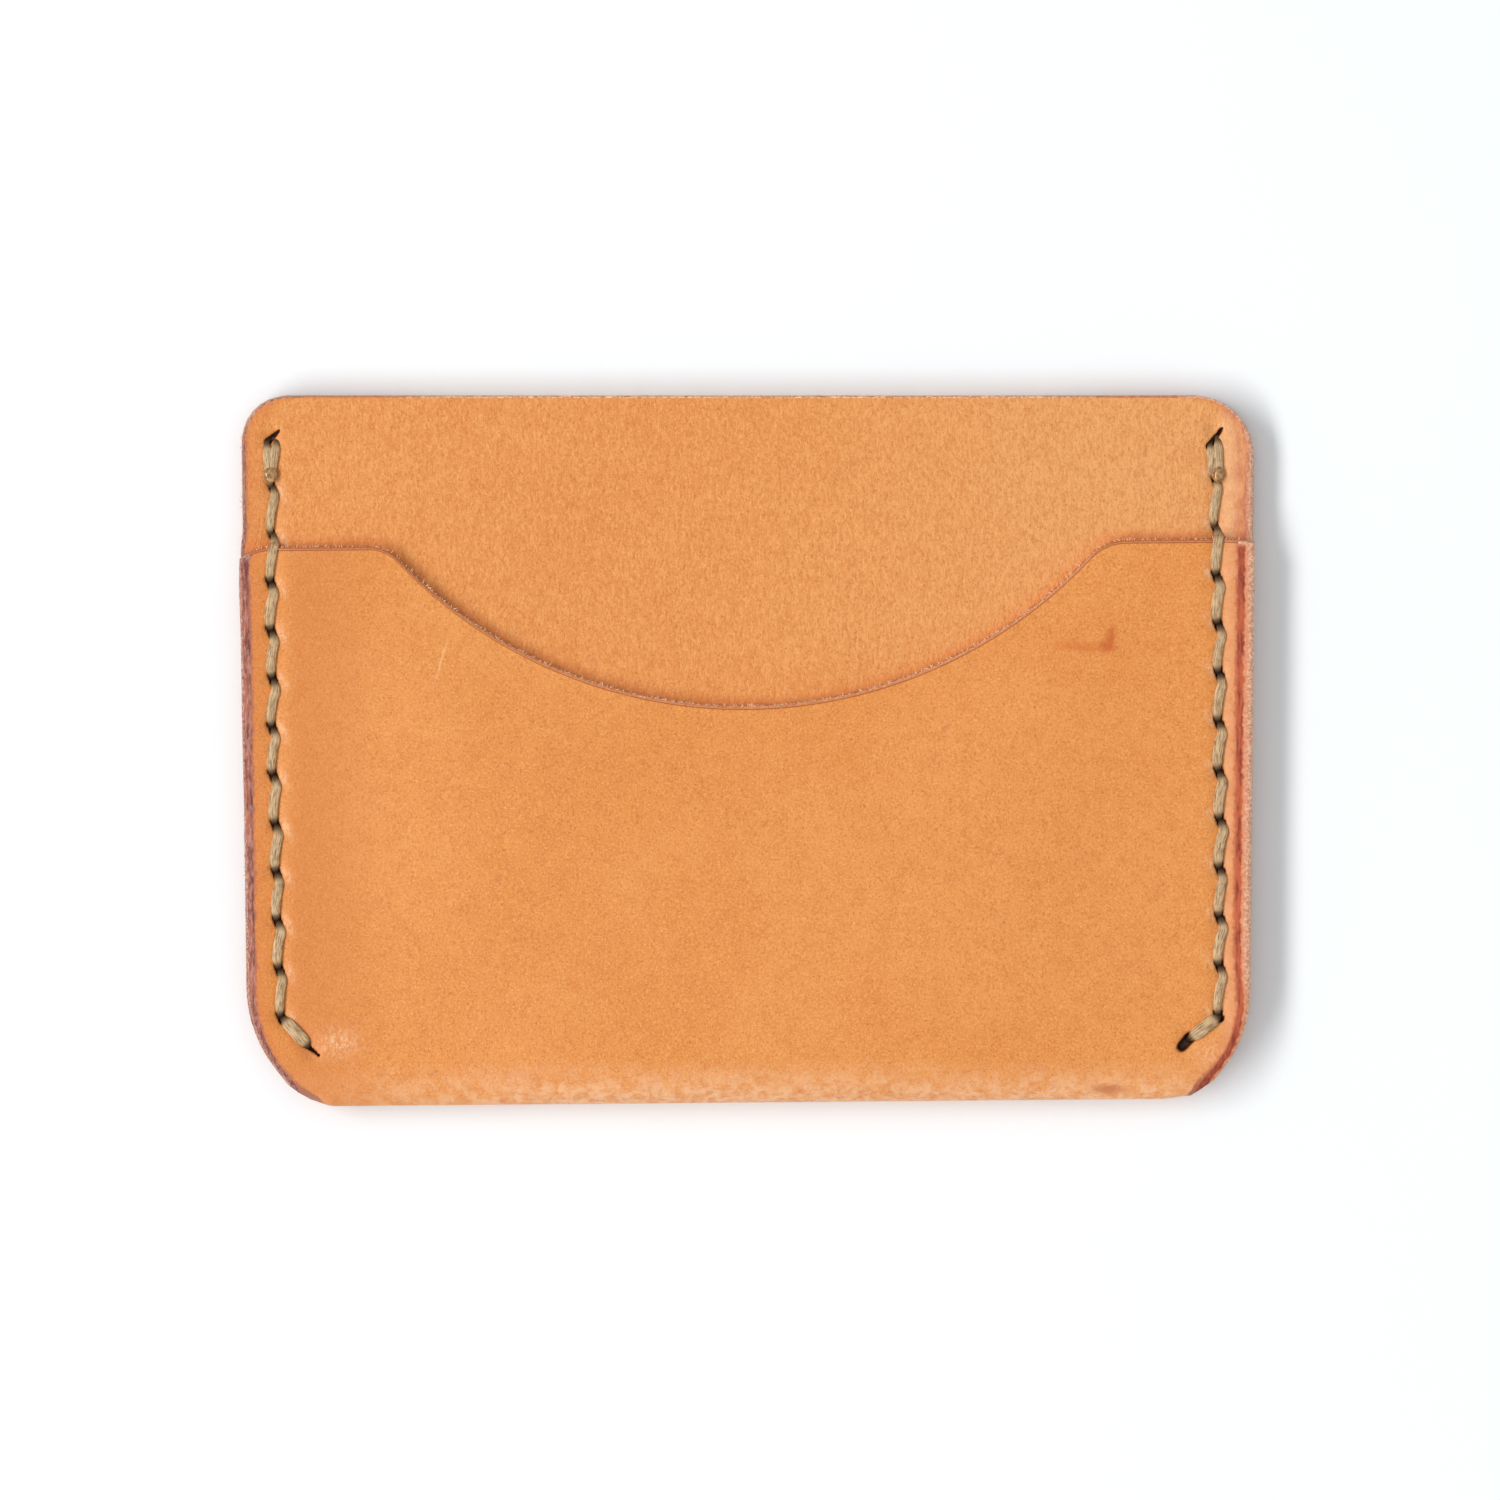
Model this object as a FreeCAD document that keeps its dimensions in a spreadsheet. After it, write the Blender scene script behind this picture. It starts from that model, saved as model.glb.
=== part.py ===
import FreeCAD, Part
import math
import os
import Sketcher

# A slim leather card holder lying on its back, in millimetres: +X to the right, +Y towards the
# mouths of the pockets, +Z out of the front. The origin is under the middle, on the resting face.
#
# outer_wrap         one strip of leather folded along the bottom: back leaf, fold, front leaf
# divider            a full-height leather panel glued between the leaves at both sides
# left_seam_thread   one waxed thread, saddle stitched through all the layers, ends melted to beads
# right_seam_thread  the same on the right
#
# The divider makes two card pockets: one in front of it, open at the scoop, and one behind it,
# open along the top. Along the sides the layers are glued and sewn together (the rim); between
# the sides the two leaves of the wrap belly out, one to each side, and leave room for cards.

# alias: (millimetres, meaning)
SIZES = {
    "width": (102.0, "left edge to right edge"),
    "height": (71.3, "fold to top edge, along the taller left side"),
    "leather": (1.3, "thickness of the folded strip"),
    "divider_leather": (1.2, "thickness of the divider"),
    "glue_line": (0.05, "paste between two layers at the rim"),
    "card_room": (1.0, "clear depth of each pocket, for a card of 0.76"),
    "pocket_half": (43.4, "half width over which the pockets have their full depth"),
    "rim_half": (46.4, "half width at which the layers have come together"),
    "skew": (0.0088, "rise per millimetre to the right of the fold and the pocket's edge"),
    "top_left_radius": (4.4, "corner radius"),
    "top_right_radius": (6.0, "corner radius"),
    "low_left_radius": (13.9, "corner radius"),
    "low_left_inset": (36.4, "centre of that corner, left of the middle"),
    "low_left_drop": (23.5, "centre of that corner, below the middle"),
    "low_right_radius": (12.1, "corner radius"),
    "low_right_inset": (38.4, "centre of that corner, right of the middle"),
    "low_right_drop": (24.2, "centre of that corner, below the middle"),
    "fold_inset": (43.5, "where the fold line starts, left of the middle"),
    "divider_clearance": (2.0, "from the outside of the fold to the divider's lower edge"),
    "shoulder": (20.85, "height of the pocket's edge above the middle, halfway across"),
    "scoop_radius": (47.7, "thumb scoop"),
    "scoop_shift": (0.38, "scoop centre, left of the middle"),
    "scoop_centre": (52.2, "scoop centre, above the middle"),
    "left_shoulder_radius": (3.8, "where the left shoulder turns into the scoop"),
    "right_shoulder_radius": (5.0, "where the right shoulder turns into the scoop"),
    "pitch": (4.86, "hole to hole along a seam"),
    "left_first": (31.4, "topmost hole of the left seam, above the middle"),
    "left_seam_top": (47.9, "left seam at that hole, left of the middle"),
    "left_seam_low": (47.1, "left seam at its lowest hole of the row"),
    "left_corner_x": (43.5, "left corner hole, left of the middle"),
    "left_corner_y": (30.4, "left corner hole, below the middle"),
    "right_first": (32.0, "topmost hole of the right seam, above the middle"),
    "right_seam_top": (46.8, "right seam at that hole, right of the middle"),
    "right_seam_low": (47.5, "right seam at its lowest hole of the row"),
    "right_corner_x": (44.0, "right corner hole, right of the middle"),
    "right_corner_y": (29.3, "right corner hole, below the middle"),
    "thread_radius": (0.35, "waxed thread"),
    "thread_ease": (0.05, "between the thread and the wall of its slit"),
    "thread_bend": (0.4, "bend of the thread's centre line where it enters a hole"),
    "strand_side": (0.44, "each strand in a hole, sideways from the hole's centre"),
    "strand_rise": (0.4, "each strand in a hole, along the seam from the hole's centre"),
    "bead_radius": (0.44, "melted thread end"),
    "bead_side": (1.15, "bead, sideways from the seam"),
    "bead_rise": (1.4, "bead, above the second hole"),
}
ROW_HOLES = 13      # holes along each straight seam; the corner hole is one more
MARGIN = 3.0        # how far cutting profiles reach past the leather
FOLD_MARGIN = 0.5   # how far the outline's corners run on below the fold
CUT_HEIGHT = 12.0   # taller than the holder is thick
TOUCH_GAP = 0.01    # left between the thread and the leather it lies on
LINE_START, LINE_END, CENTRE = 1, 2, 3
DOWN, BOTH, UP = -1, 0, 1


class Size:
    """A length with its value and the sheet formula that it follows."""

    def __init__(self, value, formula):
        self.value = value
        self.formula = formula

    def combined(self, other, sign, work):
        if not isinstance(other, Size):
            other = Size(other, str(other))
        value = work(self.value, other.value)
        return Size(value, f"({self.formula} {sign} {other.formula})")

    def __add__(self, other):
        return self.combined(other, "+", lambda a, b: a + b)

    def __sub__(self, other):
        return self.combined(other, "-", lambda a, b: a - b)

    def __mul__(self, other):
        return self.combined(other, "*", lambda a, b: a * b)

    def __truediv__(self, other):
        return self.combined(other, "/", lambda a, b: a / b)

    def __neg__(self):
        return self * -1


class Profile:
    """A sketch on one of its body's origin planes, drawn with sizes that follow the sheet."""

    def __init__(self, body, name, plane, offset=None):
        self.sketch = body.newObject("Sketcher::SketchObject", name)
        support = [item for item in body.Origin.OriginFeatures if item.Role == plane]
        self.sketch.AttachmentSupport = [(support[0], "")]
        self.sketch.MapMode = "FlatFace"
        if offset is not None:
            self.sketch.setExpression("AttachmentOffset.Base.z", offset.formula)

    def turn(self, slope):
        """Turn the sketch's plane about the holder's upright axis, to a slope across the holder."""
        upright = FreeCAD.Vector(0, 1, 0)
        angle = math.degrees(math.atan(slope.value))
        self.sketch.AttachmentOffset = FreeCAD.Placement(FreeCAD.Vector(), FreeCAD.Rotation(upright, angle))
        self.sketch.setExpression("AttachmentOffset.Rotation.Angle", f"atan({slope.formula})")

    def line(self, start, end):
        ends = [FreeCAD.Vector(point[0], point[1], 0) for point in (start, end)]
        return self.sketch.addGeometry(Part.LineSegment(*ends), False)

    def arc(self, centre, radius, first, last):
        """An arc drawn counter-clockwise between two angles in degrees."""
        middle = FreeCAD.Vector(centre[0], centre[1], 0)
        circle = Part.Circle(middle, FreeCAD.Vector(0, 0, 1), radius)
        ends = (math.radians(first), math.radians(last))
        return self.sketch.addGeometry(Part.ArcOfCircle(circle, *ends), False)

    def hold(self, *rule):
        return self.sketch.addConstraint(Sketcher.Constraint(*rule))

    def chain(self, curves, smooth):
        """Join each curve's end to the next one's start, tangent to it where smooth says so."""
        for index, curve in enumerate(curves):
            rule = "Tangent" if smooth[index] else "Coincident"
            self.hold(rule, curve, LINE_END, curves[(index + 1) % len(curves)], LINE_START)

    def follow(self, rule, formula, *where):
        index = self.hold(rule, *where)
        self.sketch.setExpression(f"Constraints[{index}]", formula)

    def place(self, curve, point, x=None, y=None):
        """Fix a point of a curve by its distances from the sketch's origin."""
        for rule, size in (("DistanceX", x), ("DistanceY", y)):
            if size is not None:
                self.follow(rule, size.formula, -1, 1, curve, point, size.value)

    def radius(self, arc, size):
        self.follow("Radius", size.formula, arc, size.value)


class Holder:
    """The sizes of the holder, read from the sheet, and the lengths worked out from them."""

    def __init__(self, sheet):
        for alias in SIZES:
            setattr(self, alias, Size(float(sheet.get(alias)), f"Sizes.{alias}"))
        self.underneath = Size(-MARGIN, str(-MARGIN))
        self.body_back = Size(0.0, "0")
        self.body_stack = self.leather * 2 + self.divider_leather + self.card_room * 2
        self.rim_stack = self.leather * 2 + self.divider_leather + self.glue_line * 2
        self.middle = self.body_stack / 2
        self.rim_back = self.middle - self.rim_stack / 2
        self.rim_front = self.middle + self.rim_stack / 2
        self.divider_back = self.middle - self.divider_leather / 2
        self.divider_front = self.middle + self.divider_leather / 2
        self.bend = self.middle
        self.bend_y = self.fold_line(Size(0.0, "0")) + self.bend
        self.thread_lift = self.thread_radius + TOUCH_GAP
        self.bed_depth = (self.thread_radius + TOUCH_GAP * 2) * 2

    def fold_line(self, x):
        """Height of the outside of the fold at a place across the holder."""
        return (self.fold_inset + x) * self.skew - self.height / 2

    def shoulder_line(self, x):
        return self.shoulder + x * self.skew

    def side(self, name):
        return Seam(self, name)


class Seam:
    """Places of one side's holes. A hole is a slit that leans from upper left to lower right."""

    def __init__(self, holder, name):
        sign = {"left": -1, "right": 1}[name]
        self.holder = holder
        self.top_x = getattr(holder, f"{name}_seam_top") * sign
        self.low_x = getattr(holder, f"{name}_seam_low") * sign
        self.first_y = getattr(holder, f"{name}_first")
        self.corner = (getattr(holder, f"{name}_corner_x") * sign, -getattr(holder, f"{name}_corner_y"))

    def hole(self, index):
        """Centre of a hole, counted from 0 at the top; the last one is the corner hole."""
        if index == ROW_HOLES:
            return self.corner
        share = index / (ROW_HOLES - 1)
        return (self.top_x + (self.low_x - self.top_x) * share, self.first_y - self.holder.pitch * index)

    def upper_strand(self, hole):
        return (hole[0] - self.holder.strand_side, hole[1] + self.holder.strand_rise)

    def lower_strand(self, hole):
        return (hole[0] + self.holder.strand_side, hole[1] - self.holder.strand_rise)

    def bead(self, direction):
        """Centre of the melted end above the second hole, on the front (UP) or back (DOWN)."""
        holder = self.holder
        x, y = self.hole(1)
        surface = holder.divider_front if direction == UP else holder.rim_back
        height = surface + (holder.bead_radius + TOUCH_GAP) * direction
        return (x - holder.bead_side * direction, y + holder.bead_rise, height)


def make_sheet(doc):
    sheet = doc.addObject("Spreadsheet::Sheet", "Sizes")
    for row, (alias, (value, meaning)) in enumerate(SIZES.items(), start=1):
        sheet.set(f"A{row}", alias)
        sheet.set(f"B{row}", str(value))
        sheet.setAlias(f"B{row}", alias)
        sheet.set(f"C{row}", meaning)
    doc.recompute()
    return sheet


def draw_outline(profile, holder, bottom_left, bottom_right):
    """The holder's outline: four rounded corners, sides that draw in a little, a bottom line."""
    half, top = holder.width / 2, holder.height / 2
    corners = [
        (holder.low_right_inset, -holder.low_right_drop, holder.low_right_radius),
        (half - holder.top_right_radius, top - holder.top_right_radius, holder.top_right_radius),
        (holder.top_left_radius - half, top - holder.top_left_radius, holder.top_left_radius),
        (-holder.low_left_inset, -holder.low_left_drop, holder.low_left_radius),
    ]
    x, y, r = [[size.value for size in column] for column in zip(*corners)]
    right_dip = math.asin((bottom_right.value - y[0]) / r[0])
    left_dip = math.asin((bottom_left.value - y[3]) / r[3])
    spans = [(math.degrees(right_dip), 0), (0, 90), (90, 180), (180, 180 - math.degrees(left_dip))]
    arcs = [profile.arc((x[i], y[i]), r[i], *spans[i]) for i in range(4)]
    right = profile.line((x[0] + r[0], y[0]), (x[1] + r[1], y[1]))
    top_line = profile.line((x[1], y[1] + r[1]), (x[2], y[2] + r[2]))
    left = profile.line((x[2] - r[2], y[2]), (x[3] - r[3], y[3]))
    bottom = profile.line((x[3] - r[3] * math.cos(left_dip), bottom_left.value),
                          (x[0] + r[0] * math.cos(right_dip), bottom_right.value))
    profile.chain([arcs[0], right, arcs[1], top_line, arcs[2], left, arcs[3], bottom],
                  [True, True, True, True, True, True, False, False])
    for arc, (centre_x, centre_y, radius) in zip(arcs, corners):
        profile.place(arc, CENTRE, centre_x, centre_y)
        profile.radius(arc, radius)
    profile.place(bottom, LINE_START, y=bottom_left)
    profile.place(bottom, LINE_END, y=bottom_right)


def draw_frame(profile, holder):
    """A rectangle well outside the outline: what lies between the two is trimmed away."""
    half, top = holder.width / 2 + MARGIN, holder.height / 2 + MARGIN
    x, y = half.value, top.value
    corners = [(-x, -y), (x, -y), (x, y), (-x, y)]
    lines = [profile.line(corners[i], corners[(i + 1) % 4]) for i in range(4)]
    profile.chain(lines, [False] * 4)
    for line, rule in zip(lines, ("Horizontal", "Vertical") * 2):
        profile.hold(rule, line)
    profile.place(lines[0], LINE_START, -half, -top)
    profile.place(lines[2], LINE_START, half, top)


def draw_polygon(profile, corners):
    """Straight sides between corners that each follow the sheet."""
    points = [(x.value, y.value) for x, y in corners]
    lines = [profile.line(points[i - 1], points[i]) for i in range(len(points))]
    profile.chain(lines, [False] * len(lines))
    for line, corner in zip(lines, corners):
        profile.place(line, LINE_END, *corner)


def draw_section(profile, holder, rim_low, body_low, body_high, rim_high):
    """A slice straight across: low rims at the sides, ramps, and the full depth between them."""
    half = holder.width / 2 + MARGIN
    across = [-half, -holder.rim_half, -holder.pocket_half, holder.pocket_half, holder.rim_half, half]
    low = [rim_low, rim_low, body_low, body_low, rim_low, rim_low]
    high = [rim_high, rim_high, body_high, body_high, rim_high, rim_high]
    draw_polygon(profile, list(zip(across, low)) + list(reversed(list(zip(across, high)))))


def draw_bend(profile, holder, radius, ends):
    """A half circle about the bend's centre, bulging away from the mouths, closed by corners."""
    y, z = holder.bend_y, holder.middle
    arc = profile.arc((y.value, z.value), radius.value, 90, 270)
    points = [(x.value, height.value) for x, height in ends]
    points = [(y.value, (z - radius).value)] + points + [(y.value, (z + radius).value)]
    lines = [profile.line(*pair) for pair in zip(points, points[1:])]
    profile.chain([arc] + lines, [False] * (len(lines) + 1))
    profile.place(arc, CENTRE, y, z)
    profile.radius(arc, radius)
    profile.place(arc, LINE_START, x=y)
    profile.place(arc, LINE_END, x=y)
    for line, corner in zip(lines, ends):
        profile.place(line, LINE_END, *corner)


def draw_scoop(profile, holder):
    """What is cut off above the front leaf's edge: left shoulder, thumb scoop, right shoulder."""
    half, top = holder.width / 2 + MARGIN, holder.height / 2 + MARGIN
    left_y, right_y = holder.shoulder_line(-half), holder.shoulder_line(half)
    centre_x, centre_y = -holder.scoop_shift.value, holder.scoop_centre.value
    radius = holder.scoop_radius.value

    def rounding(small, sign):
        """Centre of the arc that rounds one shoulder, and the direction to it from the scoop."""
        drop = centre_y - holder.shoulder.value + small.value
        reach = math.sqrt((radius + small.value) ** 2 - drop ** 2)
        return (centre_x + sign * reach, centre_y - drop), math.degrees(math.atan2(-drop, sign * reach))

    left_centre, left_angle = rounding(holder.left_shoulder_radius, -1)
    right_centre, right_angle = rounding(holder.right_shoulder_radius, 1)
    left_line = profile.line((-half.value, left_y.value), (left_centre[0], left_y.value))
    left_arc = profile.arc(left_centre, holder.left_shoulder_radius.value, left_angle + 180, 90)
    scoop = profile.arc((centre_x, centre_y), radius, left_angle, right_angle)
    right_arc = profile.arc(right_centre, holder.right_shoulder_radius.value, 90, right_angle + 180)
    right_line = profile.line((right_centre[0], right_y.value), (half.value, right_y.value))
    right_side = profile.line((half.value, right_y.value), (half.value, top.value))
    top_line = profile.line((half.value, top.value), (-half.value, top.value))
    left_side = profile.line((-half.value, top.value), (-half.value, left_y.value))
    profile.hold("Tangent", left_line, LINE_END, left_arc, LINE_END)
    profile.hold("Tangent", left_arc, LINE_START, scoop, LINE_START)
    profile.hold("Tangent", scoop, LINE_END, right_arc, LINE_END)
    profile.hold("Tangent", right_arc, LINE_START, right_line, LINE_START)
    for first, second in ((right_line, right_side), (right_side, top_line),
                          (top_line, left_side), (left_side, left_line)):
        profile.hold("Coincident", first, LINE_END, second, LINE_START)
    profile.hold("Horizontal", top_line)
    profile.place(left_line, LINE_START, -half, left_y)
    profile.place(right_line, LINE_END, half, right_y)
    profile.hold("Parallel", left_line, right_line)
    profile.hold("PointOnObject", right_line, LINE_START, left_line)
    profile.place(top_line, LINE_START, half, top)
    profile.place(top_line, LINE_END, x=-half)
    profile.place(scoop, CENTRE, -holder.scoop_shift, holder.scoop_centre)
    profile.radius(scoop, holder.scoop_radius)
    profile.radius(left_arc, holder.left_shoulder_radius)
    profile.radius(right_arc, holder.right_shoulder_radius)


def draw_slot(profile, start, end, radius):
    """A slot with round ends at two centres, the first one further left."""
    first, second = [(point[0].value, point[1].value) for point in (start, end)]
    lean = math.degrees(math.atan2(second[1] - first[1], second[0] - first[0]))
    normal = (-math.sin(math.radians(lean)) * radius.value, math.cos(math.radians(lean)) * radius.value)
    left = profile.arc(first, radius.value, lean + 90, lean + 270)
    lower = profile.line([first[i] - normal[i] for i in (0, 1)], [second[i] - normal[i] for i in (0, 1)])
    right = profile.arc(second, radius.value, lean - 90, lean + 90)
    upper = profile.line([second[i] + normal[i] for i in (0, 1)], [first[i] + normal[i] for i in (0, 1)])
    profile.chain([left, lower, right, upper], [True] * 4)
    profile.place(left, CENTRE, *start)
    profile.place(right, CENTRE, *end)
    profile.radius(left, radius)
    profile.hold("Equal", left, right)


def cut(body, name, sketch, direction, length=None):
    """A pocket from the sketch's plane, to one side or through both; it has to remove leather."""
    before = body.Shape.Volume
    pocket = body.newObject("PartDesign::Pocket", name)
    pocket.Profile = sketch
    pocket.Length = CUT_HEIGHT
    if length is not None:
        pocket.setExpression("Length", length.formula)
    pocket.Reversed = direction == UP
    pocket.Midplane = direction == BOTH
    body.Document.recompute()
    if not body.Shape.Volume < before:
        raise RuntimeError(f"{name} removes nothing")
    return pocket


def cut_holes(body, holder):
    """Both rows of slits and the corner slits, through every layer of this body."""
    slit_radius = holder.thread_radius + holder.thread_ease
    for name in ("left", "right"):
        seam = holder.side(name)
        first, last = seam.hole(0), seam.hole(ROW_HOLES - 1)
        profile = Profile(body, f"{name}_slit", "XY_Plane", holder.underneath)
        draw_slot(profile, seam.upper_strand(first), seam.lower_strand(first), slit_radius)
        run = profile.line([size.value for size in first], [size.value for size in last])
        profile.sketch.toggleConstruction(run)
        profile.place(run, LINE_START, *first)
        profile.place(run, LINE_END, *last)
        slit = cut(body, f"{name}_slit_cut", profile.sketch, UP)
        row = body.newObject("PartDesign::LinearPattern", f"{name}_slit_row")
        row.Originals = [slit]
        row.Direction = (profile.sketch, ["Axis0"])
        row.Occurrences = ROW_HOLES
        length_x, length_y = last[0] - first[0], last[1] - first[1]
        row.setExpression("Length", f"sqrt(pow({length_x.formula}; 2) + pow({length_y.formula}; 2))")
        body.Tip = row
        body.Document.recompute()
        corner = Profile(body, f"{name}_corner_slit", "XY_Plane", holder.underneath)
        draw_slot(corner, seam.upper_strand(seam.corner), seam.lower_strand(seam.corner), slit_radius)
        cut(body, f"{name}_corner_cut", corner.sketch, UP)


def cut_corner_beds(body, holder):
    """The stitch to each corner hole is pulled down into the leather on both faces."""
    radius = holder.thread_radius + holder.thread_ease * 2
    for name in ("left", "right"):
        seam = holder.side(name)
        row_end = seam.hole(ROW_HOLES - 1)
        faces = (("front", holder.body_stack - holder.bed_depth, seam.lower_strand(row_end), UP),
                 ("back", holder.bed_depth, seam.upper_strand(row_end), DOWN))
        for face, height, strand, direction in faces:
            ends = sorted((strand, seam.corner), key=lambda point: point[0].value)
            profile = Profile(body, f"{name}_{face}_bed", "XY_Plane", height)
            draw_slot(profile, *ends, radius)
            cut(body, f"{name}_{face}_bed_cut", profile.sketch, direction)


def make_outer_wrap(doc, holder):
    body = doc.addObject("PartDesign::Body", "outer_wrap")
    full_height = holder.height + MARGIN * 2
    envelope = Profile(body, "envelope", "XZ_Plane")
    draw_section(envelope, holder, holder.rim_back, holder.body_back, holder.body_stack, holder.rim_front)
    block = body.newObject("PartDesign::Pad", "folded_strip")
    block.Profile = envelope.sketch
    block.Midplane = True
    block.setExpression("Length", full_height.formula)
    doc.recompute()

    fold = Profile(body, "fold_outside", "YZ_Plane")
    fold.turn(holder.skew)
    low, high = holder.middle - holder.bend - MARGIN, holder.middle + holder.bend + MARGIN
    outside = holder.bend_y - holder.bend - MARGIN * 2
    draw_bend(fold, holder, holder.bend, [(holder.bend_y, low), (outside, low), (outside, high),
                                          (holder.bend_y, high)])
    cut(body, "fold_cut", fold.sketch, BOTH, holder.width + MARGIN * 4)

    room = Profile(body, "card_room", "XZ_Plane", -(holder.height / 2 + MARGIN))
    draw_section(room, holder, holder.rim_back + holder.leather, holder.leather,
                 holder.body_stack - holder.leather, holder.rim_front - holder.leather)
    room_floor = holder.fold_line(holder.width / 2) + holder.bend
    cut(body, "card_room_cut", room.sketch, UP, holder.height / 2 + MARGIN - room_floor)

    inside = Profile(body, "fold_inside", "YZ_Plane")
    inside.turn(holder.skew)
    inner = holder.bend - holder.leather
    reach = holder.bend_y + holder.leather
    draw_bend(inside, holder, inner, [(reach, holder.middle - inner), (reach, holder.middle + inner)])
    cut(body, "fold_inside_cut", inside.sketch, BOTH, holder.pocket_half + holder.rim_half)

    trim = Profile(body, "outline", "XY_Plane", holder.underneath)
    below = -(holder.height / 2 + FOLD_MARGIN)
    draw_outline(trim, holder, below, below)
    draw_frame(trim, holder)
    cut(body, "trim", trim.sketch, UP)
    scoop = Profile(body, "scoop", "XY_Plane", holder.middle)
    draw_scoop(scoop, holder)
    cut(body, "scoop_cut", scoop.sketch, UP)
    cut_corner_beds(body, holder)
    cut_holes(body, holder)
    return body


def make_divider(doc, holder):
    body = doc.addObject("PartDesign::Body", "divider")
    panel = Profile(body, "panel", "XY_Plane", holder.divider_back)
    low = [holder.fold_line(inset) + holder.divider_clearance
           for inset in (-holder.low_left_inset, holder.low_right_inset)]
    draw_outline(panel, holder, *low)
    pad = body.newObject("PartDesign::Pad", "panel_pad")
    pad.Profile = panel.sketch
    pad.setExpression("Length", holder.divider_leather.formula)
    doc.recompute()
    cut_holes(body, holder)
    return body


def thread_corners(seam):
    """Corner points of the thread's centre line, from the front bead to the back bead.

    One strand goes down the row and comes back up it, so that every stitch shows one run on the
    front and one on the back. It ends with a second run beside the topmost stitch on each face.
    """
    holder = seam.holder
    lift = holder.thread_lift
    last = ROW_HOLES

    def front(stitch):
        stitch = min(max(stitch, 0), last - 1)
        if stitch == last - 1:
            return holder.body_stack - lift
        covered = seam.hole(stitch + 1)[1].value < holder.shoulder.value
        return (holder.rim_front if covered else holder.divider_front) + lift

    def back(stitch):
        return lift if min(max(stitch, 0), last - 1) == last - 1 else holder.rim_back - lift

    corners = [seam.bead(UP)]
    for index in range(last + 1):
        hole = seam.hole(index)
        odd = index % 2 == 1
        spot = hole if index == last else seam.lower_strand(hole) if odd else seam.upper_strand(hole)
        heights = (back(index - 1), front(index)) if odd else (front(index - 1), back(index))
        corners += [(*spot, height) for height in heights]
    for index in reversed(range(last)):
        hole = seam.hole(index)
        odd = index % 2 == 1
        spot = seam.upper_strand(hole) if odd else seam.lower_strand(hole)
        heights = (back(index), front(index - 1)) if odd else (front(index), back(index - 1))
        corners += [(*spot, height) for height in heights]
    corners.append(seam.bead(DOWN))
    return [FreeCAD.Vector(*[size.value for size in corner]) for corner in corners]


def rounded_wire(corners, radius):
    """A wire along the corners, each turned with an arc of the given radius."""
    edges = []
    here = corners[0]
    for before, corner, after in zip(corners, corners[1:], corners[2:]):
        inward = (before - corner).normalize()
        outward = (after - corner).normalize()
        half_angle = inward.getAngle(outward) / 2
        reach = radius / math.tan(half_angle)
        start = corner + inward * reach
        end = corner + outward * reach
        bisector = (inward + outward).normalize()
        middle = corner + bisector * (radius / math.sin(half_angle) - radius)
        edges.append(Part.LineSegment(here, start).toShape())
        edges.append(Part.Arc(start, middle, end).toShape())
        here = end
    edges.append(Part.LineSegment(here, corners[-1]).toShape())
    return Part.Wire(edges)


def make_seam_thread(doc, holder, name):
    seam = holder.side(name)
    corners = thread_corners(seam)
    path = doc.addObject("Part::Feature", f"{name}_thread_path")
    path.Shape = rounded_wire(corners, holder.thread_bend.value)
    section = doc.addObject("Part::Circle", f"{name}_thread_section")
    section.setExpression("Radius", holder.thread_radius.formula)
    heading = corners[1] - corners[0]
    section.Placement = FreeCAD.Placement(corners[0], FreeCAD.Rotation(FreeCAD.Vector(0, 0, 1), heading))
    strand = doc.addObject("Part::Sweep", f"{name}_strand")
    strand.Sections = [section]
    strand.Spine = (path, [])
    strand.Solid = True
    beads = []
    for face, direction in (("front", UP), ("back", DOWN)):
        bead = doc.addObject("Part::Sphere", f"{name}_{face}_bead")
        bead.setExpression("Radius", holder.bead_radius.formula)
        for axis, size in zip("xyz", seam.bead(direction)):
            bead.setExpression(f"Placement.Base.{axis}", size.formula)
        beads.append(bead)
    thread = doc.addObject("Part::MultiFuse", f"{name}_seam_thread")
    thread.Shapes = [strand] + beads
    doc.recompute()
    return thread


def check(doc, pieces):
    for item in doc.Objects:
        if "Invalid" in item.State or "Error" in item.State:
            raise RuntimeError(f"{item.Name} failed: {item.State}")
    for piece in pieces:
        shape = piece.Shape
        if shape.isNull() or not shape.isValid() or len(shape.Solids) != 1:
            raise RuntimeError(f"{piece.Label} isn't one sound solid")


def main():
    doc = FreeCAD.newDocument("CardHolder")
    holder = Holder(make_sheet(doc))
    pieces = [
        make_outer_wrap(doc, holder),
        make_divider(doc, holder),
        make_seam_thread(doc, holder, "left"),
        make_seam_thread(doc, holder, "right"),
    ]
    doc.recompute()
    check(doc, pieces)
    os.makedirs("parts", exist_ok=True)
    for piece in pieces:
        piece.Shape.exportStep(f"parts/{piece.Label}.step")
        box = piece.Shape.optimalBoundingBox()
        print(piece.Label, "volume", round(piece.Shape.Volume, 1), "box", box)


main()
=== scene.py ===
"""The looks of the card holder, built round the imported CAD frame.

Everything is worked out in millimetres in the frame's own axes (+X right, +Y towards the pocket
mouths, +Z out of the front) and written to the meshes in metres.
"""
import math
from collections import namedtuple

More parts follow.
